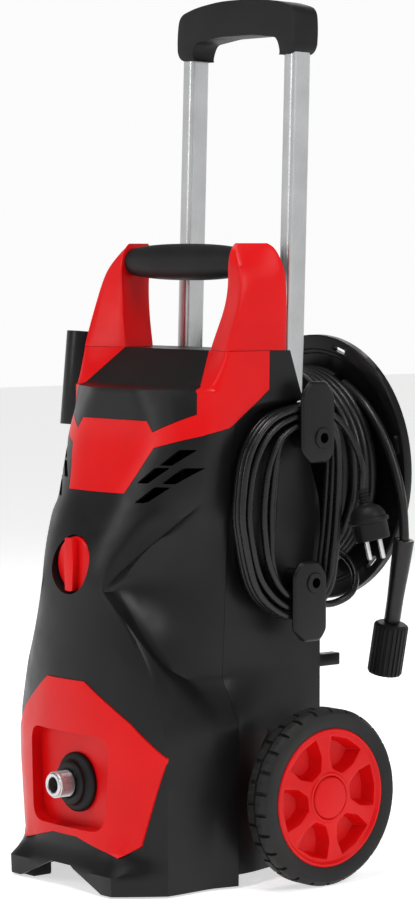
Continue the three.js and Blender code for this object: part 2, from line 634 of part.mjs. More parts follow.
function hook([y, z], low, high) {
  const plate = [
    [y - 26, low + 12], [y - 14, low], [y + 8, low], [y + 16, low + 10], [y + 16, high - 14],
    [y + 6, high], [y - 16, high], [y - 26, high - 12],
  ];
  return cut(
    join(
      rod("x", HOOK_ARM_RADIUS, BAY_X + GAP, HOOK_PLATE_X + 1, y, z),
      prism("x", plate, HOOK_PLATE_X, HOOK_PLATE_X + HOOK_PLATE),
    ),
    rod("x", 2.8, 90, 140, y, z, 12), rod("x", 5, 112, 140, y, z, 16),
  );
}

const hookScrew = ([y, z]) => turned("x", [
  [0, 88], [2.4, 88], [2.4, 112 + GAP], [4.6, 112 + GAP], [4.6, 115], [3.6, 116], [0, 116],
], y, z, 12);

add("upper_cord_hook", hook(UPPER_HOOK, 400, 478), BLACK);
add("lower_cord_hook", hook(LOWER_HOOK, 230, 307), BLACK);
add("upper_hook_screw", hookScrew(UPPER_HOOK), STEEL);
add("lower_hook_screw", hookScrew(LOWER_HOOK), STEEL);
add("cord_gland", turned("y", [
  [0, 109], [7, 109], [7, BACK_Y + GAP], [10, BACK_Y + GAP], [10, 121], [6.5, 125], [5, 143], [0, 143],
], ...GLAND, 16), RUBBER);
add("power_cord_lead", cable([
  [84, 143.6, 310], [84.3, 149.5, 309.4], [92, 156, 302], [103, 156, 291], [112, 149, 278],
  [116, 136, 268], [116, 123, 264.5],
], CORD_DIAMETER, 16), SOFT_BLACK);
add("power_cord_coil", coil(), SOFT_BLACK);
add("power_cord_tail", cable([
  [113, 127, 436], [121, 136, 427], [130, 139, 405], [133.8, 137.3, 380], [133.7, 136.8, 374.5],
], CORD_DIAMETER, 10), SOFT_BLACK);
add("power_plug", plug(), SOFT_BLACK);

// ---------- holders on the housing ----------
function lanceHolder() {
  const [top, low] = [522, 429];
  const lean = Math.atan2(9, top - low);
  const tube = (radius, extra) =>
    rod("z", radius, -extra, top - low + extra, 0, 0, 20).rotateX(-lean).translate(-130, -6, low);
  const arm = box(-128, -112.4, -9, 3, 452, 480);
  return cut(join(tube(16, 0), arm), tube(13.2, 5));
}

add("lance_holder", lanceHolder(), BLACK);
add("rear_bracket", prism("x", [
  [BACK_Y + GAP, 188], [122, 188], [128, 197], [158, 197], [158, 208], [132, 208], [124, 216], [BACK_Y + GAP, 216],
], 69, 81), BLACK);

// ---------- motor, pump and electrics inside ----------
const PUMP_TOP = 175;
const inPump = (profile, segments = 20) => turned("z", profile, 0, MOTOR_Y, segments);
add("pump_head", join(box(-38, 38, -30, 40, 50, 110), rod("y", 12, -38, -29, 0, OUTLET_Z)), CAST);
add("pump_body", inPump([
  [0, 110.3], [46, 110.3], [46, PUMP_TOP], [34, PUMP_TOP], [34, 130], [0, 130],
]), CAST);
add("motor_casing", inPump([
  [33, PUMP_TOP + GAP], [MOTOR_RADIUS, PUMP_TOP + GAP], [MOTOR_RADIUS, 330], [33, 330],
]), STEEL);
add("motor_end_shield", inPump([
  [8, 330.3], [MOTOR_RADIUS, 330.3], [MOTOR_RADIUS, 336], [18, 341], [8, 341],
]), CAST);

function rotor() {
  const swash = inPump([[0, 140], [28, 140], [28, 150], [0, 150]]);
  const shaft = inPump([[0, 134], [7, 134], [7, 362], [0, 362]], 12);
  const core = inPump([[0, 205], [31, 205], [31, 310], [0, 310]]);
  const fan = inPump([[0, 344], [44, 344], [44, 347], [12, 350], [12, 358], [0, 358]]);
  const blades = [0, 1, 2, 3, 4, 5].map((i) =>
    box(14, 43, -1.2, 1.2, 346, 356).rotateZ(i * Math.PI / 3).translate(0, MOTOR_Y, 0));
  return join(shaft, swash, core, fan, ...blades);
}

add("motor_rotor", rotor(), STEEL);
add("outlet_pipe", turned("y", [[6, -83.7], [9, -83.7], [9, -38.3], [6, -38.3]], 0, OUTLET_Z, 16), STEEL);
add("inlet_pipe", cable([
  [-25, 41.5, 62], [-25, 52, 61], [-34, 75, 50], [-40, 92, 45], [-40, 99.6, 45],
], 16, 10), SOFT_BLACK);
add("inlet_fitting", turned("y", [
  [8, 100], [12, 100], [12, BACK_Y + GAP], [16, BACK_Y + GAP], [16, 124], [13, 126], [13, 140], [8, 140],
], ...INLET, 16), BRASS);
add("pressure_switch", box(-62, -38.3, -20, 12, 62, 104), GREY);
add("suppression_capacitor", rod("z", 13, 162, 212, -64, -28, 24), GREY);

washer.position.y = -CENTRE_Y;
washer.updateMatrixWorld(true);
export default washer;
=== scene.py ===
"""Looks of the pressure washer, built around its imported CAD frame.

Sizes are in millimetres in the washer's own measuring frame: x = 0 is the mid-plane, z = 0 the
floor, the front faces -Y and the cord hooks are on the +X side. at() turns them into the frame.
"""
import math
from contextlib import contextmanager

import bmesh
import bpy
from mathutils import Matrix, Vector


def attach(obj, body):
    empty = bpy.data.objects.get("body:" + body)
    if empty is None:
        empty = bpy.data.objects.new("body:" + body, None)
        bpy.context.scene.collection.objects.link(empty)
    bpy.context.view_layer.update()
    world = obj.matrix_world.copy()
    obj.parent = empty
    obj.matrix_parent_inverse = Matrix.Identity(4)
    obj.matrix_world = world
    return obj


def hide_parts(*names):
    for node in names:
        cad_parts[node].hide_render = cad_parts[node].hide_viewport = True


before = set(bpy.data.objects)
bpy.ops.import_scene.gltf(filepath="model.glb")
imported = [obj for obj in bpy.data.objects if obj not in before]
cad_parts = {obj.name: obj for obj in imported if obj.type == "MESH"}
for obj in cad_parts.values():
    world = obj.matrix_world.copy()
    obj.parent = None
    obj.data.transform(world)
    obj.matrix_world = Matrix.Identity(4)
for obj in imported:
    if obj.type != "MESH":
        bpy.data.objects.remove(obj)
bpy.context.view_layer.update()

# ---------- driving dimensions ----------
CENTRE_Y = 49.75          # the frame's origin is this far behind the measuring frame's
WALL = 3                  # housing wall
GAP = 0.3                 # seam between two pieces of the housing
SEAM_Y = -2               # where the front and rear shells meet
DECK_Z = 507.5            # top of the housing
BACK_Y = 118              # flat back of the housing

WHEEL_Y = 71
WHEEL_RADIUS = 84.5
WHEEL_OUTER_X = 165
RIM_RADIUS = 66
ARCH_RADIUS = 86          # hollow in the rear shell beside each wheel
AXLE_HOLE_RADIUS = 6.4
FOOT_X = 64               # middle of each rubber foot
INLET = (-40, 45)         # x, z of the water inlet
INLET_HOLE_RADIUS = 12.3

OUTLET_Z = 98
OUTLET_FLOOR_Y = -104     # floor of the pocket round the outlet
KNOB_Z = 306
KNOB_RADIUS = 26
CUP_FLOOR_Y = -101        # floor of the recess round the knob
NIPPLE_TIP_Y = -135.5

GRIP_Y = 29.5
GRIP_Z = 591
GRIP_HALF = 80.5

POST_X = 76
POST_WIDTH = 16
POST_DEPTH = 23.5
POST_FOOT = (93.6, 395)   # y, z of the posts' lower ends on their axis
POST_LENGTH = 411
POST_LEAN = math.atan2(5.1, 177)
HANDLE_TOP = 451          # top of the telescopic grip above the posts' lower ends
GUIDE_TOP = 58            # end of the posts' guides above the same place

REEL_Z = 385
REEL_FRONT_Y = 138
REEL_REAR_Y = 199
REEL_REAR_RADIUS = 133
CRANK_RADIUS = 92
CRANK_ANGLE = math.radians(215)

HOSE_DIAMETER = 9.5
CORD_DIAMETER = 7
UPPER_HOOK = (89, 424)    # y, z of each cord hook's arm
LOWER_HOOK = (79, 286)
HOOK_ARM_RADIUS = 12
HOOK_PLATE_X = 126
HOOK_PLATE = 6
HOOK_SCREW_HOLE = 2.8     # radius


def at(x, y, z):
    """A point in the frame, in metres."""
    return Vector((x, y - CENTRE_Y, z)) * 0.001


def linked(name, data):
    """A new object in the scene."""
    made = bpy.data.objects.new(name, data)
    bpy.context.scene.collection.objects.link(made)
    return made


def set_inputs(node, values):
    """Sets sockets of a shader node by their names."""
    for socket, value in values.items():
        node.inputs[socket].default_value = value


# ---------- camera, floor and light ----------
CAMERA_PLACE = (2317.57, -1888.89, 597.74)
CAMERA_AZIMUTH = math.radians(50)
CAMERA_PITCH = math.radians(3.5993)
CAMERA_LENS = 124


def add_camera():
    a, p = CAMERA_AZIMUTH, CAMERA_PITCH
    right = Vector((math.cos(a), math.sin(a), 0))
    back = Vector((math.sin(a) * math.cos(p), -math.cos(a) * math.cos(p), math.sin(p)))
    turn = Matrix((right, back.cross(right), back)).transposed()
    camera = linked("camera", bpy.data.cameras.new("camera"))
    camera.data.lens = CAMERA_LENS
    camera.data.sensor_width = 36
    camera.matrix_world = Matrix.Translation(at(*CAMERA_PLACE)) @ turn.to_4x4()
    bpy.context.scene.camera = camera


def add_floor():
    mesh = bpy.data.meshes.new("floor")
    mesh.from_pydata([(-9, -9, 0), (9, -9, 0), (9, 9, 0), (-9, 9, 0)], [], [(0, 1, 2, 3)])
    floor = linked("floor", mesh)
    pale = bpy.data.materials.new("pale_floor")
    pale.use_nodes = True
    set_inputs(pale.node_tree.nodes["Principled BSDF"], {
        "Base Color": (0.86, 0.86, 0.86, 1), "Roughness": 0.85, "Specular IOR Level": 0.1,
        "Emission Color": (1, 1, 1, 1), "Emission Strength": 0.6,
    })
    mesh.materials.append(pale)


def add_softbox(name, place, aim, width, height, power):
    lamp = bpy.data.lights.new(name, "AREA")
    lamp.shape = "RECTANGLE"
    lamp.size = width
    lamp.size_y = height
    lamp.energy = power
    softbox = linked(name, lamp)
    turn = (Vector(aim) - Vector(place)).to_track_quat("-Z", "Y").to_matrix()
    softbox.matrix_world = Matrix.Translation(place) @ turn.to_4x4()


def add_lights():
    world = bpy.data.worlds.new("studio")
    world.use_nodes = True
    tree = world.node_tree
    background = tree.nodes["Background"]
    set_inputs(background, {"Color": (1, 1, 1, 1)})
    height = tree.nodes.new("ShaderNodeSeparateXYZ")
    tree.links.new(tree.nodes.new("ShaderNodeTexCoord").outputs["Generated"], height.inputs["Vector"])
    fade = tree.nodes.new("ShaderNodeMapRange")
    set_inputs(fade, {"From Min": 0.12, "From Max": 0.4, "To Min": 0.97, "To Max": 0.2})
    tree.links.new(height.outputs["Z"], fade.inputs["Value"])
    tree.links.new(fade.outputs["Result"], background.inputs["Strength"])
    bpy.context.scene.world = world
    bpy.context.scene.view_settings.view_transform = "Standard"
    middle = (0, 0, 0.4)
    add_softbox("key_light", (2.2, 0.4, 2.1), middle, 0.8, 1.4, 26)
    add_softbox("front_light", (-0.8, -2.5, 1.7), middle, 0.5, 1.6, 18)
    add_softbox("top_light", (0.3, -0.6, 2.6), middle, 0.9, 0.9, 30)
    add_softbox("rear_light", (-1.2, 2.2, 1.6), middle, 1.5, 1.5, 12)


# ---------- materials ----------
class Look:
    """A material being put together from nodes that read the object's own coordinates."""

    def __init__(self, name, color, roughness, metallic=0.0, specular=0.5):
        self.material = bpy.data.materials.new(name)
        self.material.use_nodes = True
        self.tree = self.material.node_tree
        self.shader = self.tree.nodes["Principled BSDF"]
        set_inputs(self.shader, {
            "Base Color": (*color, 1), "Roughness": roughness,
            "Metallic": metallic, "Specular IOR Level": specular,
        })
        self.places = self.node("ShaderNodeTexCoord").outputs["Object"]

    def node(self, kind, **settings):
        made = self.tree.nodes.new(kind)
        for key, value in settings.items():
            setattr(made, key, value)
        return made

    def link(self, source, target):
        self.tree.links.new(source, target)

    def stretched(self, scale):
        mapping = self.node("ShaderNodeMapping")
        set_inputs(mapping, {"Scale": scale})
        self.link(self.places, mapping.inputs["Vector"])
        return mapping.outputs["Vector"]

    def noise(self, size_mm, detail=3, scale=(1, 1, 1)):
        """A noise pattern whose blobs are about size_mm across."""
        noise = self.node("ShaderNodeTexNoise")
        set_inputs(noise, {"Scale": 1000 / size_mm, "Detail": detail, "Roughness": 0.55})
        self.link(self.stretched(scale), noise.inputs["Vector"])
        return noise.outputs["Fac"]

    def ramp(self, value, low, high):
        """Grey levels from low to high over the middle of the value's range."""
        spread = self.node("ShaderNodeMapRange")
        set_inputs(spread, {"From Min": 0.3, "From Max": 0.7, "To Min": low, "To Max": high})
        self.link(value, spread.inputs["Value"])
        return spread.outputs["Result"]

    def rough(self, pattern, low, high):
        self.link(self.ramp(pattern, low, high), self.shader.inputs["Roughness"])

    def tint(self, pattern, first, second):
        mix = self.node("ShaderNodeMix", data_type="RGBA")
        mix.inputs["A"].default_value = (*first, 1)
        mix.inputs["B"].default_value = (*second, 1)
        self.link(self.ramp(pattern, 0, 1), mix.inputs["Factor"])
        self.link(mix.outputs["Result"], self.shader.inputs["Base Color"])

    def bump(self, pattern, depth_mm, strength=1.0):
        """Raises the surface by the pattern; a second call adds to the first."""
        bump = self.node("ShaderNodeBump")
        set_inputs(bump, {"Distance": depth_mm * 0.001, "Strength": strength})
        self.link(pattern, bump.inputs["Height"])
        earlier = self.shader.inputs["Normal"].links
        if earlier:
            self.link(earlier[0].from_socket, bump.inputs["Normal"])
        self.link(bump.outputs["Normal"], self.shader.inputs["Normal"])


def moulded_plastic(name, dark, light, roughness, specular, grain_mm=0.9, grain_depth=0.03):
    """Spark-eroded moulded plastic: a fine grain, faint flow marks and uneven gloss."""
    look = Look(name, dark, roughness, specular=specular)
    look.tint(look.noise(70, 2), dark, light)
    look.rough(look.noise(24, 4), roughness - 0.05, roughness + 0.06)
    look.bump(look.noise(grain_mm, 2), grain_depth)
    look.bump(look.noise(90, 1), 0.25, 0.5)
    return look.material


def cord_rubber(name, color, roughness):
    """Extruded rubber with a slight wander along its surface."""
    look = Look(name, color, roughness, specular=0.35)
    look.tint(look.noise(18, 3), color, tuple(channel * 1.7 for channel in color))
    look.rough(look.noise(6, 3), roughness - 0.06, roughness + 0.1)
    look.bump(look.noise(1.4, 2), 0.05)
    return look.material


def drawn_metal(name, color, roughness, stretch):
    """Drawn or turned metal with fine lines along one axis."""
    look = Look(name, color, roughness, metallic=1.0)
    lines = look.noise(0.9, 3, scale=stretch)
    look.rough(lines, roughness - 0.07, roughness + 0.12)
    look.bump(lines, 0.012)
    look.tint(look.noise(40, 3), color, tuple(channel * 0.86 for channel in color))
    return look.material


def cast_metal(name, color, roughness):
    """Die-cast or sand-cast metal: blotchy, with a pitted skin."""
    look = Look(name, color, roughness, metallic=1.0)
    look.tint(look.noise(9, 4), color, tuple(channel * 0.72 for channel in color))
    look.rough(look.noise(3, 4), roughness - 0.1, roughness + 0.15)
    look.bump(look.noise(0.8, 3), 0.08)
    return look.material


# Two colours that drift into each other, roughness, specular level, then grain size and depth
# in millimetres where they differ from the usual.
MOULDED = {
    "black_plastic": ((0.0035, 0.0035, 0.0037), (0.005, 0.005, 0.0053), 0.36, 0.24),
    "red_plastic": ((0.56, 0.0015, 0.0025), (0.63, 0.003, 0.004), 0.36, 0.18, 1.1, 0.015),
    "soft_black": ((0.005, 0.005, 0.0055), (0.008, 0.008, 0.0085), 0.5, 0.2, 1.3, 0.06),
    "rubber": ((0.006, 0.006, 0.006), (0.01, 0.01, 0.01), 0.62, 0.22, 1.6, 0.08),
    "tyre": ((0.008, 0.008, 0.008), (0.014, 0.0135, 0.013), 0.58, 0.25, 1.5, 0.07),
    "grey_plastic": ((0.15, 0.15, 0.16), (0.19, 0.19, 0.2), 0.5, 0.4),
}


def make_materials():
    made = {name: moulded_plastic(name, *look) for name, look in MOULDED.items()}
    return {
        **made,
        "cord_rubber": cord_rubber("cord_rubber", (0.004, 0.004, 0.0045), 0.27),
        "hose_rubber": cord_rubber("hose_rubber", (0.005, 0.005, 0.005), 0.32),
        "aluminium": drawn_metal("aluminium", (0.52, 0.525, 0.53), 0.3, (1, 1, 0.02)),
        "steel": drawn_metal("steel", (0.60, 0.60, 0.61), 0.3, (1, 0.05, 1)),
        "brass": drawn_metal("brass", (0.66, 0.46, 0.2), 0.32, (1, 0.05, 1)),
        "cast_metal": cast_metal("cast_metal", (0.42, 0.43, 0.45), 0.5),
    }


# ---------- mesh building ----------
def new_piece(name, points, faces):
    """A mesh object from points in millimetres, with its faces turned outwards."""
    mesh = bpy.data.meshes.new(name)
    mesh.from_pydata([at(*point) for point in points], [], faces)
    piece = linked(name, mesh)
    face_outwards(piece)
    return piece


@contextmanager
def editing(piece):
    """Opens a piece's mesh for editing and leaves its faces turned outwards."""
    work = bmesh.new()
    work.from_mesh(piece.data)
    yield work
    bmesh.ops.recalc_face_normals(work, faces=work.faces)
    work.to_mesh(piece.data)
    work.free()


def face_outwards(piece):
    with editing(piece):
        pass


def settle(piece):
    """Applies the piece's modifiers."""
    graph = bpy.context.evaluated_depsgraph_get()
    settled = bpy.data.meshes.new_from_object(piece.evaluated_get(graph))
    piece.modifiers.clear()
    piece.data = settled


def copy_of(piece, name):
    twin = piece.copy()
    twin.data = piece.data.copy()
    twin.name = name
    bpy.context.scene.collection.objects.link(twin)
    return twin


def combine(piece, tool, operation):
    """Joins, cuts or intersects a solid with another, which is used up."""
    modifier = piece.modifiers.new("combine", "BOOLEAN")
    modifier.operation = operation
    modifier.object = tool
    modifier.solver = "EXACT"
    settle(piece)
    bpy.data.objects.remove(tool)
    return piece


def cut(piece, *tools):
    for tool in tools:
        combine(piece, tool, "DIFFERENCE")
    return piece


def join(piece, *others):
    for other in others:
        combine(piece, other, "UNION")
    return piece


def overlap(piece, *others):
    for other in others:
        combine(piece, other, "INTERSECT")
    return piece


def rounded(piece, width, segments=2, angle=35):
    """Rounds the edges that are sharper than an angle."""
    modifier = piece.modifiers.new("round", "BEVEL")
    modifier.width = width * 0.001
    modifier.segments = segments
    modifier.limit_method = "ANGLE"
    modifier.angle_limit = math.radians(angle)
    modifier.harden_normals = False
    settle(piece)
    return piece


def shade(piece, angle=32):
    piece.data.shade_smooth()
    piece.data.set_sharp_from_angle(angle=math.radians(angle))


def place(piece, body, slot, *nodes, angle=32):
    """Gives a piece its finish, its body and the CAD nodes that it stands for."""
    shade(piece, angle)
    piece.data.materials.clear()
    piece.data.materials.append(MATERIALS[slot])
    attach(piece, body)
    if nodes:
        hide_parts(*nodes)
    return piece


def along(axis, u, v, w):
    """Puts an outline point (u, v) and a depth w along an axis: (y, z), (x, z) or (x, y)."""
    return {"x": (w, u, v), "y": (u, w, v), "z": (u, v, w)}[axis]


def prism(name, axis, outline, start, stop):
    count = len(outline)
    points = [along(axis, u, v, w) for w in (start, stop) for u, v in outline]
    sides = [(i, (i + 1) % count, count + (i + 1) % count, count + i) for i in range(count)]
    caps = [tuple(range(count)), tuple(range(2 * count - 1, count - 1, -1))]
    return new_piece(name, points, sides + caps)


def block(name, x0, x1, y0, y1, z0, z1):
    return prism(name, "z", [(x0, y0), (x1, y0), (x1, y1), (x0, y1)], z0, z1)


def skinned(name, rings, closed=False, capped=True):
    """A solid through a stack of rings with the same number of points."""
    count = len(rings[0])
    points = [point for ring in rings for point in ring]
    faces = []
    last = len(rings) if closed else len(rings) - 1
    for level in range(last):
        low = level * count
        high = (level + 1) % len(rings) * count
        for i in range(count):
            j = (i + 1) % count
            faces.append((low + i, low + j, high + j, high + i))
    if capped and not closed:
        faces.append(tuple(range(count)))
        faces.append(tuple(range(len(points) - count, len(points))))
    return new_piece(name, points, faces)


def crease(solid, sharpness_of):
    """Sets the sharpness of a cage's edges by a rule on the numbers of their two points."""
    creases = solid.data.attributes.new("crease_edge", "FLOAT", "EDGE")
    for edge in solid.data.edges:
        creases.data[edge.index].value = sharpness_of(*sorted(edge.vertices))


def smooth_solid(piece, levels, kind="CATMULL_CLARK"):
    """Subdivides an open tube of faces, then closes its ends with flat faces."""
    smooth = piece.modifiers.new("smooth", "SUBSURF")
    smooth.levels = levels
    smooth.subdivision_type = kind
    settle(piece)
    with editing(piece) as work:
        bmesh.ops.edgeloop_fill(work, edges=[edge for edge in work.edges if edge.is_boundary])
    return piece


def circle(radius, count, a, b):
    angles = [2 * math.pi * i / count for i in range(count)]
    return [(a + radius * math.cos(t), b + radius * math.sin(t)) for t in angles]


def rod(name, axis, radius, start, stop, a=0, b=0, count=48):
    return prism(name, axis, circle(radius, count, a, b), start, stop)


def turned(name, axis, profile, a=0, b=0, count=64):
    """A solid of revolution from a closed profile of (radius, distance along the axis)."""
    rings = []
    for i in range(count):
        t = 2 * math.pi * i / count
        rings.append([along(axis, a + r * math.cos(t), b + r * math.sin(t), w) for r, w in profile])
    piece = skinned(name, rings, closed=True)
    weld(piece)
    return piece


def weld(piece):
    """Joins points that lie on each other, such as those on the axis of a turned solid."""
    with editing(piece) as work:
        bmesh.ops.remove_doubles(work, verts=work.verts, dist=0.00001)
        bmesh.ops.dissolve_degenerate(work, edges=work.edges, dist=0.000005)


def mirrored(piece, name):
    twin = copy_of(piece, name)
    for vertex in twin.data.vertices:
        vertex.co.x = -vertex.co.x
    twin.data.flip_normals()
    return twin


def softened(outline, radius, steps=4):
    """A closed outline with its corners rounded."""
    result = []
    count = len(outline)
    for i, (x, y) in enumerate(outline):
        before = Vector(outline[i - 1]) - Vector((x, y))
        after = Vector(outline[(i + 1) % count]) - Vector((x, y))
        reach = min(radius, before.length * 0.45, after.length * 0.45)
        start = Vector((x, y)) + before.normalized() * reach
        stop = Vector((x, y)) + after.normalized() * reach
        for step in range(steps + 1):
            t = step / steps
            point = start * (1 - t) ** 2 + Vector((x, y)) * 2 * t * (1 - t) + stop * t ** 2
            result.append((point.x, point.y))
    return result


def set_at(piece, turn, x, y, z):
    """Turns a piece that was built round the origin and moves it to a point."""
    to_place = Matrix.Translation(at(x, y, z)) @ turn.to_4x4() @ Matrix.Translation(-at(0, 0, 0))
    piece.data.transform(to_place)
    return piece


def laid(piece, start, stop):
    """Lays a piece that was built from the origin along -Z from one point towards another."""
    turn = Vector((0, 0, -1)).rotation_difference(Vector(stop) - Vector(start))
    return set_at(piece, turn.to_matrix(), *start)


def along_posts(piece):
    """Moves a piece built round the origin to the foot of the posts, along their lean."""
    return set_at(piece, Matrix.Rotation(-POST_LEAN, 3, "X"), 0, *POST_FOOT)


def round_reel(piece, angle):
    """Moves a piece built round the origin to the reel's axis, turned round it."""
    return set_at(piece, Matrix.Rotation(angle, 3, "Y"), 0, 0, REEL_Z)


# ---------- smooth routes ----------
def smooth_route(controls, spacing):
    """Points about spacing millimetres apart on a curve through the control points."""
    knots = [Vector(point) for point in controls]
    knots = [2 * knots[0] - knots[1], *knots, 2 * knots[-1] - knots[-2]]
    route = []
    for p0, p1, p2, p3 in zip(knots, knots[1:], knots[2:], knots[3:]):
        steps = max(2, round((p2 - p1).length / spacing))
        for step in range(steps):
            t = step / steps
            route.append(0.5 * (
                2 * p1 + (p2 - p0) * t + (2 * p0 - 5 * p1 + 4 * p2 - p3) * t * t
                + (3 * p1 - p0 - 3 * p2 + p3) * t ** 3
            ))
    route.append(knots[-2])
    return route


def smooth_outline(controls, spacing):
    """The same for an outline in two dimensions."""
    return [(point.x, point.y) for point in smooth_route([(u, v, 0) for u, v in controls], spacing)]


def round_cord(name, route, diameter, slot, body):
    """A curve of one open spline along a route, with a round section."""
    curve = bpy.data.curves.new(name, "CURVE")
    curve.dimensions = "3D"
    curve.bevel_depth = diameter * 0.0005
    curve.bevel_resolution = 3
    curve.use_fill_caps = True
    spline = curve.splines.new("POLY")
    spline.points.add(len(route) - 1)
    for point, place_mm in zip(spline.points, route):
        point.co = (*at(*place_mm), 1)
    spline.use_smooth = True
    cord = linked(name, curve)
    curve.materials.append(MATERIALS[slot])
    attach(cord, body)
    return cord


# ---------- housing ----------
# Outline of the right half at a height, from the middle of the front to the middle of the back.
# Points 3 and 4 bound the light strip and the shoulder, 5 and 6 lie in the scoop below the
# shoulder, and 7 is on the seam.
BACK = [(98, 60), (98, BACK_Y), (50, BACK_Y), (0, BACK_Y)]
LOW_BACK = [(100, 60), (98, 112), (50, 112), (0, 112)]
ARCH_BACK = [(100, 60), *BACK[1:]]


def bay_back(side_y, middle_y):
    """The back beside the cord hooks: it slopes forwards, and only its middle stays upright."""
    return [(98, 40), (98, side_y), (50, middle_y), (0, middle_y)]


def top_back(side_y):
    return [(112, side_y - 2), (100, side_y + 1), (50, side_y + 2), (0, side_y + 2)]


HOUSING = [
    (0, [(0, -126), (45, -126), (78, -127), (110, -84),
         (108, -30), (110, -22), (112.5, -12), (115, SEAM_Y), (114, 20), *LOW_BACK]),
    (20, [(0, -127), (45, -127.5), (78, -128), (110.5, -84.5),
          (109, -31), (111, -22), (113, -12), (115, SEAM_Y), (114, 20), *LOW_BACK]),
    (38, [(0, -121), (45, -118), (72, -110), (111.5, -85.5),
          (110, -33), (112, -23), (114, -12), (115, SEAM_Y), (114, 20), *ARCH_BACK]),
    (131, [(0, -122), (45, -118), (85, -106), (113.5, -88),
           (115.5, -35), (115.3, -24), (115, -12), (115, SEAM_Y), (114, 20), *ARCH_BACK]),
    (156, [(0, -122), (38, -119), (80, -107), (110.5, -90),
           (115, -35), (115, -22), (115, -11), (115, SEAM_Y), (112, 20), *ARCH_BACK]),
    (198, [(0, -121), (32, -120), (70, -107), (98.5, -92),
           (98, -66), (86, -38), (88, -20), (90, SEAM_Y), (94, 20), *BACK]),
    (210, [(0, -120.5), (34, -118), (69, -107), (94, -92.5),
           (94, -75), (86, -66), (84, -32), (91, SEAM_Y), (94, 20), *BACK]),
    (236, [(0, -119), (40, -115), (65, -106), (81, -94.5),
           (82, -93), (78, -84), (80, -40), (93, SEAM_Y), (96, 20), *BACK]),
    (284, [(0, -117), (20, -116.5), (35, -115), (46, -112.5),
           (47, -112), (47, -92), (70, -42), (95, SEAM_Y), (97, 20), *BACK]),
    (300, [(0, -117.5), (20, -117), (38, -114), (48, -109.5),
           (56, -102), (50, -86), (72, -40), (96, SEAM_Y), (97, 20), *BACK]),
    (320, [(0, -112), (20, -111), (40, -108.5), (57, -100),
           (70, -84.5), (61, -74), (78, -36), (97, SEAM_Y), (97, 20), *BACK]),
    (340, [(0, -103), (22, -102.5), (43, -100), (65, -89),
           (83, -63), (76, -55), (87, -28), (99, SEAM_Y), (98.5, 20), *BACK]),
    (362, [(0, -92), (22, -91.5), (43, -90), (80, -72),
           (97, -38), (98, -34), (101, -18), (103, SEAM_Y), (101, 12), *bay_back(BACK_Y - 1, BACK_Y)]),
    (374, [(0, -86), (22, -85), (42, -83), (84, -66),
           (102, -38), (103, -28), (103.5, -14), (103, SEAM_Y), (101, 14), *bay_back(113, BACK_Y)]),
    (417, [(0, -67), (30, -66.5), (62, -65), (88, -50),
           (104, -35), (105, -24), (104.5, -12), (103, SEAM_Y), (101, 12), *bay_back(98, BACK_Y)]),
    (432, [(0, -63), (30, -62.5), (57, -61.5), (86, -47),
           (104, -31), (107.5, -20), (108, -10), (108, SEAM_Y), (103, 16), *bay_back(93, 117)]),
    (449, [(0, -61.5), (28, -61.3), (50, -61), (80, -46),
           (102, -28), (108, -17), (111, -8), (112, SEAM_Y), (110, 18), *bay_back(87, 98)]),
    (460, [(0, -61), (25, -60.7), (42, -60.5), (75, -45),
           (104, -27), (109, -16), (111, -8), (112, SEAM_Y), (112, 38), *top_back(84)]),
    (471, [(0, -60), (20, -60), (36, -60), (70, -43),
           (105.5, -26), (109.5, -16), (111.3, -8), (112, SEAM_Y), (112, 38), *top_back(80)]),
    (473, [(0, -30), (20, -30), (36, -30), (87, -27),
           (106, -25), (109.5, -16), (111.3, -8), (112, SEAM_Y), (112, 38), *top_back(79)]),
    (DECK_Z, [(0, 5), (20, 5), (40, 5), (66, 4),
              (108.5, -13.5), (110.8, -9), (111.7, -5.5), (112, SEAM_Y), (112, 38), *top_back(67)]),
]
# How sharp the edges up the housing are: point, from height, to height, sharpness.
UPRIGHT_CREASES = [
    (1, 38, 198, 0.3), (2, 0, 38, 0.95), (2, 38, 236, 0.35),
    (3, 0, 38, 0.9), (3, 38, 156, 0.6), (3, 156, 284, 0.95), (3, 284, 362, 0.5), (3, 417, DECK_Z, 0.6),
    (4, 0, 156, 0.3), (4, 156, 362, 1.0), (4, 362, 471, 0.4), (5, 198, 340, 0.9),
    (7, 0, DECK_Z, 0.9), (9, 449, DECK_Z, 0.8), (10, 0, DECK_Z, 0.6),
]
# How sharp the edges round it are: height, from point, to point, sharpness.
LEVEL_CREASES = [
    (0, 0, 12, 1.0), (20, 0, 4, 1.0), (38, 0, 4, 0.95), (156, 3, 7, 0.9), (198, 4, 7, 0.85),
    (284, 3, 5, 0.6), (449, 8, 10, 0.8), (460, 7, 10, 0.9), (471, 0, 5, 0.95), (473, 0, 4, 0.95),
    (DECK_Z, 0, 12, 1.0),
]


def inset(outline, distance):
    """Moves every side of a closed anticlockwise outline inwards."""
    moved = []
    corners = [Vector(corner) for corner in outline]
    following = [*corners[1:], corners[0]]
    sides = [(stop - start).normalized() for start, stop in zip(corners, following)]
    normals = [Vector((-side.y, side.x)) for side in sides]
    for i, corner in enumerate(corners):
        both = normals[i - 1] + normals[i]
        reach = distance / max(0.5, 1 + normals[i - 1].dot(normals[i]))
        moved.append(tuple(corner + both * reach))
    return moved


def crease_of(low, high, count):
    """The sharpness of the housing cage's edge between two of its points."""
    (level, column), (next_level, next_column) = divmod(low, count), divmod(high, count)
    near, far = sorted((min(column, count - column), min(next_column, count - next_column)))
    z, next_z = HOUSING[level][0], HOUSING[next_level][0]
    if level == next_level:
        found = [sharpness for at_z, first, last, sharpness in LEVEL_CREASES
                 if at_z == z and first <= near and far <= last]
    else:
        found = [sharpness for at_column, low_z, high_z, sharpness in UPRIGHT_CREASES
                 if at_column == near and low_z <= z and next_z <= high_z]
    return max(found, default=0.0)


def whole_outline(half):
    return [*half, *[(-x, y) for x, y in reversed(half[1:-1])]]


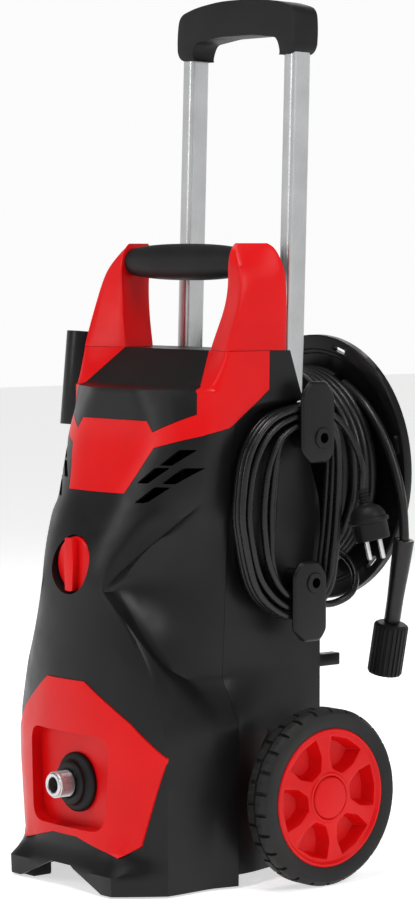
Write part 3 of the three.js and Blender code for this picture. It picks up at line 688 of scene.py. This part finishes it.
def housing(name, depth=0.0):
    """The housing's smooth skin as a solid, moved inwards."""
    rings = [[(x, y, z) for x, y in inset(whole_outline(half), depth)] for z, half in HOUSING]
    solid = skinned(name, rings, capped=False)
    crease(solid, lambda low, high: crease_of(low, high, len(rings[0])))
    return smooth_solid(solid, 2)


def hollow():
    """The space inside the housing, open below. It runs straight past the scoops in the sides."""
    rings = []
    for z, half in HOUSING:
        outline = list(half)
        if z < 362:
            start, stop = Vector(half[2]), Vector(half[6])
            outline[3:6] = [tuple(start.lerp(stop, step / 4)) for step in (1, 2, 3)]
        height = z - WALL if z > 470 else z
        rings.append([(x, y, height) for x, y in inset(whole_outline(outline), WALL + 1)])
    rings[0] = [(x, y, -10) for x, y, _ in rings[0]]
    return smooth_solid(skinned("hollow", rings, capped=False), 1, "SIMPLE")


def symmetric(half):
    """A closed outline from its right half, listed from the bottom up."""
    return [*half, *[(-x, z) for x, z in reversed(half)]]


def trim_region(d):
    """The red trim seen from the front and from the side, grown by a margin."""
    front = prism("trim_front", "y", symmetric([
        (42 + d, 374 - d), (62 + d, 417 - d), (104, 430 - d), (140, 436 - d), (140, 530),
    ]), -150, 60)
    side = prism("trim_side", "x", [
        (-140, 360), (-45, 360), (-33 + d, 430 - d), (-8, 436 - d),
        (38 + d, 471 - d), (39 + d, 530), (-140, 530),
    ], -150, 150)
    return overlap(front, side)


def band_region(d):
    """The black front band and the tray between the arms of the trim, grown by a margin."""
    return prism("band", "y", symmetric([
        (49 - d, 442 - d), (57, 432 - 2.3 * d), (93 + d, 449 - d),
        (91 + d, 468), (64 + d, DECK_Z), (64 + d, 530),
    ]), -150, 39 + d)


def panel_region(d):
    """The red panel round the outlet, grown by a margin."""
    return prism("panel", "y", symmetric([
        (18, 50 - d), (72 + d, 36 - d), (90 + d, 48 - d),
        (113 + d, 131.5), (80 + d, 163 + d), (28 + d, 198 + d),
    ]), -150, -86 + d)


def pocket(margin, front_y, back_y):
    """The rounded pocket in that panel."""
    low, high, half = 57 - margin, 148 + margin, 61 + margin
    outline = [(half - 6, low), (half, high), (-half, high), (-half + 6, low)]
    return prism("pocket", "y", softened(outline, 18, 6), front_y, back_y)


def vent_slots():
    """Four slanted slots in two staggered rows on each shoulder."""
    slots = []
    for x, z in [(73, 402), (55, 385), (78, 385), (58, 367)]:
        outline = [(x - 2, z - 1), (x + 9, z - 1), (x + 26, z + 14), (x + 12.5, z + 14)]
        slot = prism("slot", "y", softened(outline, 1.6, 3), -100, -25)
        slots += [slot, mirrored(slot, "slot_left")]
    return slots


def front_shell():
    shell = housing("front_casing")
    low_arch = [(-70, -1), (70, -1), (58, 4), (14, 23), (-14, 23), (-58, 4)]
    foot_arch = prism("foot_arch", "y", low_arch, -150, -90)
    cut(shell, trim_region(GAP), band_region(GAP), panel_region(GAP), foot_arch)
    cut(shell, cut(hollow(), rod("cup", "y", 31, -200, CUP_FLOOR_Y + WALL, 0, KNOB_Z, 64)))
    overlap(shell, block("front_half", -150, 150, -200, SEAM_Y, 2, 600))
    cut(shell, rod("cup_hollow", "y", 28, -140, CUP_FLOOR_Y, 0, KNOB_Z, 64))
    cut(shell, rod("hole", "y", 5, -140, -90, 0, KNOB_Z))
    return cut(shell, *vent_slots())


def rear_shell():
    """The post holes are cut last: in other orders the solver can lose the whole shell."""
    half = block("rear_half", -150, 150, SEAM_Y + GAP, 200, 13, 600)
    shell = overlap(housing("rear_casing"), half)
    cut(shell, hollow(), trim_region(GAP), band_region(GAP))
    cut(shell, rod("axle_hole", "x", AXLE_HOLE_RADIUS, -130, 130, WHEEL_Y, WHEEL_RADIUS))
    for hook in (UPPER_HOOK, LOWER_HOOK):
        cut(shell, rod("screw_hole", "x", HOOK_SCREW_HOLE, 80, 120, *hook))
    cut(shell, rod("gland_hole", "y", 7.3, 100, 130, GLAND_TIP[0], GLAND_TIP[2]))
    cut(shell, rod("inlet_hole", "y", INLET_HOLE_RADIUS, 100, 130, *INLET))
    cut(shell, rod("reel_hole", "y", 8.3, 100, 130, 0, REEL_Z))
    for side in (-1, 1):
        ends = sorted((side * 106, side * 130))
        cut(shell, rod("arch", "x", ARCH_RADIUS, *ends, 100, 80, 96))
    for side in (-1, 1):
        middle = side * POST_X
        cut(shell, along_posts(block("post_hole", middle - 11, middle + 11, -15, 15, -40, 130)))
    return shell


def outlet_panel():
    surround = overlap(housing("outlet_surround", -1.5), panel_region(0))
    cut(surround, cut(hollow(), pocket(3, -200, OUTLET_FLOOR_Y + 3)))
    return cut(surround, pocket(0, -150, OUTLET_FLOOR_Y), rod("hole", "y", 15.3, -120, -90, 0, OUTLET_Z))


def add_housing():
    place(front_shell(), "housing", "black_plastic", "front_shell")
    place(rear_shell(), "housing", "black_plastic", "rear_shell")
    cover = cut(overlap(housing("top_band"), band_region(0)), hollow())
    place(cover, "housing", "black_plastic", "top_cover")
    trim = overlap(housing("red_trim"), trim_region(0), block("limit", -150, 150, -150, 60, 0, 600))
    place(cut(trim, band_region(GAP), hollow()), "housing", "red_plastic", "front_trim")
    place(outlet_panel(), "housing", "red_plastic", "outlet_panel")


# ---------- outlet and knob ----------
def outlet_collar():
    collar = turned("outlet_ring", "y", [
        (9.3, -84), (15, -84), (15, -104.3), (28.5, -104.3), (28.5, -107.5), (26.5, -109.5),
        (22.5, -110.5), (21, -112), (21, -115.5), (19, -117), (14.5, -117), (13.4, -115.5), (9.3, -115.5),
    ], 0, OUTLET_Z)
    return rounded(collar, 0.6, 2, 20)


def threaded_nipple():
    pitch = 1.8
    thread = []
    for turn in range(9):
        y = -118 - turn * pitch
        for radius, part in ((12.5, 0.1), (12.5, 0.35), (11.5, 0.6), (11.5, 0.85)):
            thread.append((radius, y - part * pitch))
    return turned("outlet_thread", "y", [
        (7.5, -84), (9, -84), (9, -117), (11.5, -117), *thread, (11.3, NIPPLE_TIP_Y + 0.8),
        (10.5, NIPPLE_TIP_Y), (8.3, NIPPLE_TIP_Y), (7.5, NIPPLE_TIP_Y + 0.8),
    ], 0, OUTLET_Z)


def switch_knob():
    disc = turned("knob", "y", [
        (0, CUP_FLOOR_Y - 0.5), (KNOB_RADIUS, CUP_FLOOR_Y - 0.5), (KNOB_RADIUS, -107), (25.2, -108.5),
        (23.5, -109), (0, -109),
    ], 0, KNOB_Z)
    outline = [(-5.5, -26), (5.5, -26), (7, 0), (5.5, 26), (-5.5, 26), (-7, 0)]
    ridge = prism("ridge", "y", [(x, KNOB_Z + z) for x, z in outline], -116, -108)
    overlap(ridge, rod("limit", "y", KNOB_RADIUS - 0.6, -120, -100, 0, KNOB_Z, 64))
    return join(disc, rounded(ridge, 1.6, 3))


def add_outlet_and_knob():
    place(outlet_collar(), "housing", "soft_black", "outlet_collar")
    place(threaded_nipple(), "housing", "steel", "outlet_nipple", angle=20)
    place(switch_knob(), "knob", "red_plastic", "switch_knob")
    for middle, name in ((FOOT_X, "foot_right"), (-FOOT_X, "foot_left")):
        foot = block(name + "_pad", middle - 11, middle + 11, -118, -96, 0, 14 - GAP)
        place(rounded(foot, 2, 3), "housing", "rubber", name)


# ---------- carry handle ----------
# One leg from the deck up: height, then x, y of the inner front, outer front and back corners.
LEG = [
    (DECK_Z + GAP, [(64, 5), (110, -13), (112, 62), (64, 40)]),
    (DECK_Z + 4, [(64.8, 5.2), (110.1, -12), (112, 62), (64.8, 40.5)]),
    (530, [(71.5, 8), (111, -5), (112, 62), (71.5, 43)]),
    (550, [(77.5, 12), (111.5, 3), (112, 62), (77.5, 46)]),
    (572, [(80.5, 13), (108, 9), (112, 61), (80.5, 48)]),
    (585, [(80.5, 12), (101, 11), (110.5, 60), (80.5, 50)]),
    (598, [(80.5, 14), (90, 16), (105, 58), (80.5, 51)]),
    (606, [(80.5, 18), (84, 22), (100, 55), (80.5, 50)]),
    (609, [(80.5, 22), (82.5, 25), (95, 51), (80.5, 47)]),
]


def cage(name, rings, sharpness):
    """A smooth solid through a stack of rings, with the given sharpness of its lengthwise edges."""
    solid = skinned(name, rings, capped=False)
    count = len(rings[0])

    def sharpness_of(low, high):
        level = low // count
        if level != high // count:
            return sharpness
        return 1.0 if level in (0, len(rings) - 1) else 0.0

    crease(solid, sharpness_of)
    return smooth_solid(solid, 3)


def add_carry_handle():
    leg = cage("carry_legs", [[(x, y, z) for x, y in ring] for z, ring in LEG], 0.62)
    rounded(leg, 1.2, 3, 50)
    join(leg, mirrored(leg, "left_leg"), rod("bar", "x", 10, -85, 85, GRIP_Y, GRIP_Z))
    place(leg, "housing", "red_plastic", "carry_handle", angle=40)
    half = GRIP_HALF - GAP
    steps = [half * (i / 14 - 1) for i in range(29)]
    crown = [(13.4 + 4.3 * (1 - abs(x / half) ** 2.6), x) for x in steps]
    grip = turned("soft_grip", "x", [(10.3, -half), *crown, (10.3, half)], GRIP_Y, GRIP_Z)
    place(rounded(grip, 1, 3, 50), "housing", "soft_black", "carry_grip")


# ---------- telescopic handle ----------
def post_outline(side, margin, radius):
    """The section of one side's post, grown by a margin, with rounded corners."""
    x, half_x, half_y = side * POST_X, POST_WIDTH / 2 + margin, POST_DEPTH / 2 + margin
    corners = [(x - half_x, -half_y), (x + half_x, -half_y), (x + half_x, half_y), (x - half_x, half_y)]
    return softened(corners, radius, 6)


def telescopic_grip():
    base = POST_LENGTH - 16
    top = HANDLE_TOP
    arch = symmetric([(65, base), (87, base), (88.5, base + 24), (86, top - 11), (60, top - 4), (24, top)])
    grip = prism("top_grip", "y", softened(arch, 13, 6), -15, 15)
    side = [(-13, base), (13, base), (15, base + 10), (15, top + 1), (-15, top + 1), (-15, base + 10)]
    overlap(grip, prism("side_limit", "x", side, -100, 100))
    space = symmetric([(65, base - 1), (65, base + 10), (60, base + 17), (25, base + 21)])
    cut(grip, prism("space", "y", softened(space, 5, 4), -20, 20))
    for side in (-1, 1):
        cut(grip, prism("socket", "z", post_outline(side, GAP, 4), base - 1, POST_LENGTH + GAP))
    return along_posts(rounded(grip, 2.4, 3, 40))


def telescopic_post(side, name):
    tube = prism(name, "z", post_outline(side, 0, 5), 0, POST_LENGTH)
    cut(tube, prism("inside", "z", post_outline(side, -1.8, 3.4), -1, POST_LENGTH + 1))
    return along_posts(tube)


def post_guide(side, name):
    """The sleeve in the housing that the post slides in."""
    guide = prism(name, "z", post_outline(side, 2.5, 5), -262, GUIDE_TOP)
    cut(guide, prism("bore", "z", post_outline(side, 0.5, 5), -263, GUIDE_TOP + 1))
    return along_posts(rounded(guide, 0.5, 2, 60))


def add_telescopic_handle():
    for side, name in ((1, "right"), (-1, "left")):
        post = telescopic_post(side, "post_" + name)
        place(post, "telescopic_handle", "aluminium", "handle_post_" + name)
        guide = post_guide(side, "guide_" + name)
        place(guide, "housing", "black_plastic", "handle_guide_" + name)
    place(telescopic_grip(), "telescopic_handle", "soft_black", "telescopic_grip")


# ---------- wheels ----------
TREAD_LUGS = 26
TREAD_FLOOR = 81.3
LUG_STEPS = (0.0, 0.32, 0.35, 0.47, 0.5, 0.82, 0.85, 0.97)


def tyre():
    """Two rows of lugs, half a pitch apart, with a groove between them."""
    rings = []
    for lug in range(TREAD_LUGS):
        for step in LUG_STEPS:
            inner = TREAD_FLOOR if step > 0.84 else WHEEL_RADIUS
            outer = TREAD_FLOOR if 0.34 < step < 0.48 else WHEEL_RADIUS
            profile = [
                (RIM_RADIUS + GAP, 137), (70, 135.8), (76, 135), (80, 135.6), (TREAD_FLOOR, 137),
                (inner - 1.5, 138.6), (inner, 141), (inner, 148.5), (TREAD_FLOOR, 149.3),
                (TREAD_FLOOR, 150.7), (outer, 151.5), (outer, 159), (outer - 1.5, 161.4),
                (TREAD_FLOOR, 163), (80, 164.4), (76, WHEEL_OUTER_X), (70, 164.2),
                (RIM_RADIUS + GAP, 163),
            ]
            t = 2 * math.pi * (lug + step) / TREAD_LUGS
            cos, sin = math.cos(t), math.sin(t)
            rings.append([(x, WHEEL_Y + r * cos, WHEEL_RADIUS + r * sin) for r, x in profile])
    piece = skinned("tyre", rings, closed=True)
    weld(piece)
    return piece


def rim_pocket(index):
    """A pocket of the rim: wide at the edge, pointed towards the hub, with sloped walls."""
    t = math.radians(7 + 60 * index)
    outline = softened([(26, -7), (38, -17), (55.5, -21), (59, 0), (55.5, 21), (38, 17), (26, 7)], 2, 3)
    cos, sin = math.cos(t), math.sin(t)
    middle = 43
    rings = []
    for x, scale in ((147.5, 0.72), (160.9, 0.98), (168, 1.04)):
        ring = [(middle + (a - middle) * scale, b * scale) for a, b in outline]
        rings.append([(x, WHEEL_Y + a * cos - b * sin, WHEEL_RADIUS + a * sin + b * cos) for a, b in ring])
    return skinned("pocket", rings)


def rim():
    disc = turned("rim", "x", [
        (6.3, 119), (18, 119), (18, 143), (62, 143), (62, 137), (RIM_RADIUS, 137), (RIM_RADIUS, 163),
        (65, 164), (63.4, 164), (62, 162.2), (61, 161.4), (24.5, 161.4), (23.3, 162.8),
        (21.4, 162.8), (20.5, 162), (20.5, 157), (6.3, 157),
    ], WHEEL_Y, WHEEL_RADIUS, 96)
    cut(disc, *[rim_pocket(index) for index in range(6)])
    return rounded(disc, 0.5, 2, 40)


def hub_cap():
    return turned("cap", "x", [
        (0, 157 + GAP), (20, 157 + GAP), (20, 162.4), (19, 163.6), (17, 164), (0, 164.3),
    ], WHEEL_Y, WHEEL_RADIUS, 64)


def add_wheels():
    for make, slot in ((tyre, "tyre"), (rim, "red_plastic"), (hub_cap, "red_plastic")):
        right = make()
        kind = right.name
        left = mirrored(right, kind + "_left")
        right.name = kind + "_right"
        place(right, "wheel_right", slot, f"wheel_{kind}_right")
        place(left, "wheel_left", slot, f"wheel_{kind}_left")


# ---------- cord hooks ----------
def cord_hook(name, centre, low, high):
    """A faceted plate on a round arm, with its screw at the bottom of a hole."""
    y, z = centre
    plate = prism(name, "x", softened([
        (y - 26, low + 12), (y - 14, low), (y + 8, low), (y + 16, low + 10), (y + 16, high - 14),
        (y + 6, high), (y - 16, high), (y - 26, high - 12),
    ], 4, 3), HOOK_PLATE_X, HOOK_PLATE_X + HOOK_PLATE)
    rounded(plate, 2.2, 1, 60)
    rounded(plate, 0.5, 2, 25)
    boss = turned("boss", "x", [(0, 130), (10, 130), (10, 133), (9.2, 133.8), (0, 133.8)], y, z, 48)
    join(plate, rod("arm", "x", HOOK_ARM_RADIUS, 98 + GAP, HOOK_PLATE_X + 1, y, z), boss)
    cut(plate, rod("bore", "x", HOOK_SCREW_HOLE, 90, 140, y, z))
    return cut(plate, rod("counterbore", "x", 5, 112, 140, y, z))


def hook_screw(name, centre):
    y, z = centre
    screw = turned(name, "x", [
        (0, 88), (2.4, 88), (2.4, 112 + GAP), (4.6, 112 + GAP), (4.6, 114.4), (3.6, 115.8), (0, 116.2),
    ], y, z, 32)
    for width, height in ((0.5, 2.6), (2.6, 0.5)):
        cut(screw, block("slot", 114, 118, y - width, y + width, z - height, z + height))
    return screw


def add_hooks():
    upper = cord_hook("hook_upper", UPPER_HOOK, 400, 478)
    place(upper, "upper_hook", "black_plastic", "upper_cord_hook")
    lower = cord_hook("hook_lower", LOWER_HOOK, 230, 307)
    place(lower, "housing", "black_plastic", "lower_cord_hook")
    place(hook_screw("screw_upper", UPPER_HOOK), "housing", "steel", "upper_hook_screw")
    place(hook_screw("screw_lower", LOWER_HOOK), "housing", "steel", "lower_hook_screw")


# ---------- hose reel ----------
CRANK_PLACE = (
    CRANK_RADIUS * math.cos(CRANK_ANGLE),
    REEL_Z + CRANK_RADIUS * math.sin(CRANK_ANGLE),
)


def on_reel(name, profile, count=96):
    return turned(name, "y", profile, 0, REEL_Z, count)


def rear_flange():
    flange = on_reel("flange_rear", [
        (9, REEL_REAR_Y), (114, REEL_REAR_Y), (115.5, 197.5), (118, 197.5), (119.5, 196),
        (131.5, 196), (REEL_REAR_RADIUS, 197.5), (REEL_REAR_RADIUS, 204.5),
        (131.5, 206), (130, 206), (128, 202.5), (9, 202.5),
    ])
    for index in range(6):
        rib = block("rib", -1.2, 1.2, 202, 205, -127, 127)
        join(flange, round_reel(rib, math.radians(2 + 30 * index)))
    cut(flange, rod("middle", "y", 17, 202.5, 210, 0, REEL_Z))
    for index in range(6):
        slot = prism("slot", "y", softened([(-9, 121.5), (9, 121.5), (9, 126), (-9, 126)], 2, 4), 190, 210)
        cut(flange, round_reel(slot, math.radians(17 + 60 * index)))
    join(flange, rod("crank_seat", "y", 9, 202, 205.5, *CRANK_PLACE))
    join(flange, rod("crank_pin", "y", 5, 202, 232, *CRANK_PLACE))
    return rounded(flange, 0.6, 2, 40)


def crank_handle():
    side = smooth_outline([(13, 206.5), (15, 212), (12.5, 221), (14.8, 230), (11.5, 234.6)], 1.5)
    profile = [(5.3, 206.5), *side, (0, 235), (0, 232.4), (5.3, 232.4)]
    return turned("crank_handle", "y", profile, *CRANK_PLACE, 48)


def add_reel():
    place(rear_flange(), "reel", "black_plastic", "reel_rear_flange")
    front = on_reel("flange_front", [
        (9, REEL_FRONT_Y), (105, REEL_FRONT_Y), (106, REEL_FRONT_Y + 1), (106, 144.4),
        (105.4, 145), (104, 145), (103.4, 142), (9, 142),
    ])
    place(rounded(front, 0.5, 2, 40), "reel", "black_plastic", "reel_front_flange")
    place(crank_handle(), "crank", "soft_black", "crank_knob")
    bracket = on_reel("reel_mount", [
        (8.3, BACK_Y + GAP), (36, BACK_Y + GAP), (36, 123), (34.5, 124.5), (22, 126), (20, 128),
        (20, REEL_FRONT_Y - GAP), (8.3, REEL_FRONT_Y - GAP),
    ])
    place(bracket, "housing", "black_plastic", "reel_bracket")
    axle = on_reel("reel_shaft", [
        (0, 112), (8, 112), (8, 203), (14, 203), (14, 207), (13, 208), (0, 208),
    ], 48)
    place(axle, "housing", "steel", "reel_axle")


# ---------- pieces on the cords ----------
PLUG_TOP = (134.5, 137, 373)
PLUG_END = (146, 146, 306)
SLEEVE_TOP = (143, 185, 322)
NUT_TOP = (125.5, 185, 237)
NUT_LENGTH = 49
NUT_RIBS = 22
SLEEVE_LENGTH = (Vector(NUT_TOP) - Vector(SLEEVE_TOP)).length


def ribs_along(start, count, low, high):
    """Rings round a strain relief, as profile points from start downwards."""
    pitch = 3.2
    profile = []
    for index in range(count):
        w = start - pitch * index
        profile += [(low, w), (high, w - 0.2 * pitch), (high, w - 0.55 * pitch), (low, w - 0.75 * pitch)]
    return profile


def plug_body():
    shoulder = smooth_outline([(5.2, -13.5), (7.5, -15.5), (13, -18.5), (16.8, -24), (17.8, -28)], 1.2)
    body = turned("plug_body", "z", [
        (0, 0), (4.4, 0), *ribs_along(-1.5, 4, 4.6, 5.8), *shoulder,
        (19.3, -28.6), (19.8, -29.4), (19.8, -32.2), (19, -33), (17.6, -33.4),
        (17.2, -49), (16.2, -50), (0, -50),
    ], count=48)
    for side in (-1, 1):
        cut(body, block("earth", -4, 4, *sorted((side * 15, side * 20)), -52, -36))
    return laid(body, PLUG_TOP, PLUG_END)


def plug_pins():
    profile = [(0, -49.5), (2.4, -49.5), (2.4, -67.8), (1.7, -69), (0, -69)]
    pins = [turned("plug_pins", "z", profile, x, 0, 24) for x in (9.5, -9.5)]
    return laid(join(*pins), PLUG_TOP, PLUG_END)


def strain_relief():
    profile = [
        (0, 109), (7, 109), (7, BACK_Y + GAP), (10, BACK_Y + GAP),
        (10, 120.4), (9.2, 121.4), (7.4, 122.4),
    ]
    for index in range(5):
        y, r = 124 + 3.6 * index, 7 - 0.34 * index
        profile += [(r, y), (r, y + 1.7), (r - 1, y + 2.2), (r - 1.1, y + 3.2)]
    profile += [(4.8, 142.4), (4.2, 143), (0, 143)]
    return turned("strain_relief", "y", profile, GLAND_TIP[0], GLAND_TIP[2], 40)


def ribbed_nut():
    end = -SLEEVE_LENGTH - NUT_LENGTH
    levels = [(14, 2 - SLEEVE_LENGTH, 0), (16.2, 0.6 - SLEEVE_LENGTH, 0), (17, -1 - SLEEVE_LENGTH, 1.5),
              (17, end + 2.4, 1.5), (15.8, end, 0.4)]
    rings = []
    for radius, z, groove in levels:
        ring = []
        for rib in range(NUT_RIBS):
            for step, depth in ((0.0, 0), (0.45, 0), (0.6, groove), (0.85, groove)):
                t = 2 * math.pi * (rib + step) / NUT_RIBS
                ring.append(((radius - depth) * math.cos(t), (radius - depth) * math.sin(t), z))
        rings.append(ring)
    nut = skinned("ribbed_nut", rings)
    cut(nut, rod("thread_hole", "z", 12.4, end - 1, end + 16))
    return laid(nut, SLEEVE_TOP, NUT_TOP)


def nut_insert():
    end = -SLEEVE_LENGTH - NUT_LENGTH
    insert = turned("nut_insert", "z", [
        (2.5, end + 15.7), (9, end + 15.7), (9, end + 5), (6.5, end + 3),
        (6.5, end - 1.6), (5.6, end - 2.4), (2.5, end - 2.4),
    ], count=40)
    return laid(insert, SLEEVE_TOP, NUT_TOP)


def hose_sleeve():
    sleeve = turned("bend_sleeve", "z", [
        (0, -0.5), (5.2, -0.5), (6, 0), (9.4, 0), (10, -0.8), (9.8, -14), (9.3, -30), (8.6, -45),
        (8.1, -60), (8, 4 - SLEEVE_LENGTH), (7.6, 3 - SLEEVE_LENGTH), (0, 3 - SLEEVE_LENGTH),
    ], count=48)
    return laid(sleeve, SLEEVE_TOP, NUT_TOP)


# ---------- holders on the housing ----------
def lance_holder():
    top, low = 522, 429
    lean = Matrix.Rotation(-math.atan2(9, top - low), 3, "X")
    tube = set_at(rod("lance_cup", "z", 16, 0, top - low), lean, -130, -6, low)
    join(tube, rounded(block("arm", -128, -112.4, -9, 3, 452, 480), 2, 3))
    cut(tube, set_at(rod("inside", "z", 13.2, -5, top - low + 5), lean, -130, -6, low))
    return rounded(tube, 0.8, 2, 40)


def rear_peg():
    outline = [
        (BACK_Y + GAP, 189), (123, 189), (130, 196), (158, 196), (158, 208),
        (134, 208), (127, 210.5), (123, 216),
        (BACK_Y + GAP, 216),
    ]
    return rounded(prism("rear_peg", "x", outline, 69, 81), 1.2, 3)


def inlet_connector():
    return turned("inlet_connector", "y", [
        (8, 100), (12, 100), (12, BACK_Y + GAP), (16, BACK_Y + GAP), (16, 123), (15, 124), (13.4, 124.4),
        *[(13.2 if step % 2 else 12.2, 126 + step) for step in range(13)],
        (12, 139.4), (11.4, 140), (8, 140),
    ], *INLET)


def add_holders():
    place(lance_holder(), "housing", "black_plastic", "lance_holder")
    place(rear_peg(), "housing", "black_plastic", "rear_bracket")
    place(inlet_connector(), "housing", "brass", "inlet_fitting", angle=20)


# ---------- mains cord ----------
GLAND_TIP = (84, 143, 310)
CORD_LEAD = [
    (84, 143, 310), (84.3, 149.5, 309.4), (92, 156, 302), (103, 156, 291), (112, 149, 278), (116, 136, 268),
    (115, 112, 262),
]
# Each turn runs over the upper hook, down behind, under the lower hook and up in front.
LOOSE_TURN = [
    (79, 261), (45, 265), (14, 290), (-1, 330), (-4, 365), (6, 405), (36, 437),
    (90, 447), (111, 433), (118, 402), (118, 353), (114, 308), (104, 275),
]
LAST_TURN_POINTS = 8      # the last turn stops on top of the upper hook, where the tail begins
TURN_SLACK = [0.55, 0.86, 0.98, 0.3, 0.72, 0.93, 0.15, 0.82, 1.0]
CORD_PITCH = 7.3
COLUMN_X = [108, 115.3, 122.4]
CORD_TAIL = [
    (117, 113, 445), (121, 127, 432), (127, 136, 413),
    (132, 139, 395), (134.2, 137.4, 382), (134.4, 136.9, 372),
]


def tight_turn(layer):
    """The turn that hangs straight between the hooks, one cord layer further out at a time."""
    width = 28
    reach = HOOK_ARM_RADIUS + CORD_PITCH * (layer + 0.5)
    upper, top = UPPER_HOOK[0], UPPER_HOOK[1] + reach
    lower, low = LOWER_HOOK[0], LOWER_HOOK[1] - reach
    return [
        (lower, low), (lower - 0.8 * width, low + 0.4 * width), (lower - width, low + width + 10),
        (82 - width, 335), (84 - width, 365), (upper - width, top - width),
        (upper - 0.75 * width, top - 0.35 * width), (upper, top),
        (upper + 0.75 * width, top - 0.35 * width),
        (upper + width, top - width), (85 + width, 353), (lower + width, low + width + 10),
        (lower + 0.8 * width, low + 0.4 * width),
    ]


def mains_route():
    ranked = sorted(range(len(TURN_SLACK)), key=lambda turn: TURN_SLACK[turn])
    seat = {turn: (rank // 3, rank % 3) for rank, turn in enumerate(ranked)}
    middle = tight_turn(1)
    controls = list(CORD_LEAD)
    for turn, slack in enumerate(TURN_SLACK):
        layer, column = seat[turn]
        points = list(zip(tight_turn(layer), middle, LOOSE_TURN))
        if turn == len(TURN_SLACK) - 1:
            points = points[:LAST_TURN_POINTS]
        for (ty, tz), (my, mz), (ly, lz) in points:
            controls.append((COLUMN_X[column], ty + slack * (ly - my), tz + slack * (lz - mz)))
    controls += CORD_TAIL
    return smooth_route(controls, 5)


def add_mains_cord():
    route = mains_route()
    plug = place(plug_body(), "housing", "soft_black", "power_plug")
    pins = place(plug_pins(), "housing", "steel")
    relief = place(strain_relief(), "housing", "rubber", "cord_gland")
    cord = round_cord("power_cord", route, CORD_DIAMETER, "cord_rubber", "housing")
    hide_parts("power_cord_lead", "power_cord_coil", "power_cord_tail")


# ---------- high-pressure hose ----------
HOSE_TAIL = [
    (49.5, 190.4, 470.5), (60, 189.5, 466), (80, 187, 455), (97, 185.5, 441),
    (114, 185, 420), (130, 185, 390),
    (140, 185, 358), (143.2, 185, 326), (143, 185, 320.5),
]
HOSE_LAYERS = [82.2, 90.4, 98.2]
HOSE_TURNS = 5
HOSE_LEAVES_AT = math.radians(60)
HOSE_FIRST_Y = 151
HOSE_PITCH = 9.9


def wound_route():
    """Turns across the drum and back, layer upon layer, ending at the top where the tail leaves."""
    steps = 48
    per_layer = HOSE_TURNS * steps
    start = HOSE_LEAVES_AT
    route = []
    for layer, radius in enumerate(HOSE_LAYERS):
        for step in range(per_layer):
            across = step / per_layer * (HOSE_TURNS - 1) * HOSE_PITCH
            if layer % 2:
                across = (HOSE_TURNS - 1) * HOSE_PITCH - across
            rise = min(1, step / steps) * 0.999
            before = HOSE_LAYERS[max(0, layer - 1)]
            r = before + (radius - before) * rise
            t = start - 2 * math.pi * (layer * HOSE_TURNS + step / steps)
            route.append(Vector((r * math.cos(t), HOSE_FIRST_Y + across, REEL_Z + r * math.sin(t))))
    return route


def add_hose():
    wound = wound_route()
    hose = round_cord("hose_on_drum", wound, HOSE_DIAMETER, "hose_rubber", "reel")
    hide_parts("hose_wound")
    route = smooth_route(HOSE_TAIL, 6)
    sleeve = place(hose_sleeve(), "housing", "hose_rubber", "hose_sleeve")
    nut = place(ribbed_nut(), "swivel_nut", "soft_black", "hose_nut", angle=25)
    insert = place(nut_insert(), "housing", "steel")
    tail = round_cord("hose_end", route, HOSE_DIAMETER, "hose_rubber", "housing")
    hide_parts("hose_tail")


# ---------- the whole scene ----------
MATERIALS = make_materials()


def finish_cad_nodes():
    """Gives every CAD node the material of its slot in the record."""
    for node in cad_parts.values():
        for slot in node.material_slots:
            name = slot.material.name.split(".")[0]
            if name in MATERIALS:
                slot.material = MATERIALS[name]


add_camera()
add_floor()
add_lights()
finish_cad_nodes()
add_housing()
add_outlet_and_knob()
add_carry_handle()
add_telescopic_handle()
add_wheels()
add_hooks()
add_reel()
add_holders()
add_mains_cord()
add_hose()
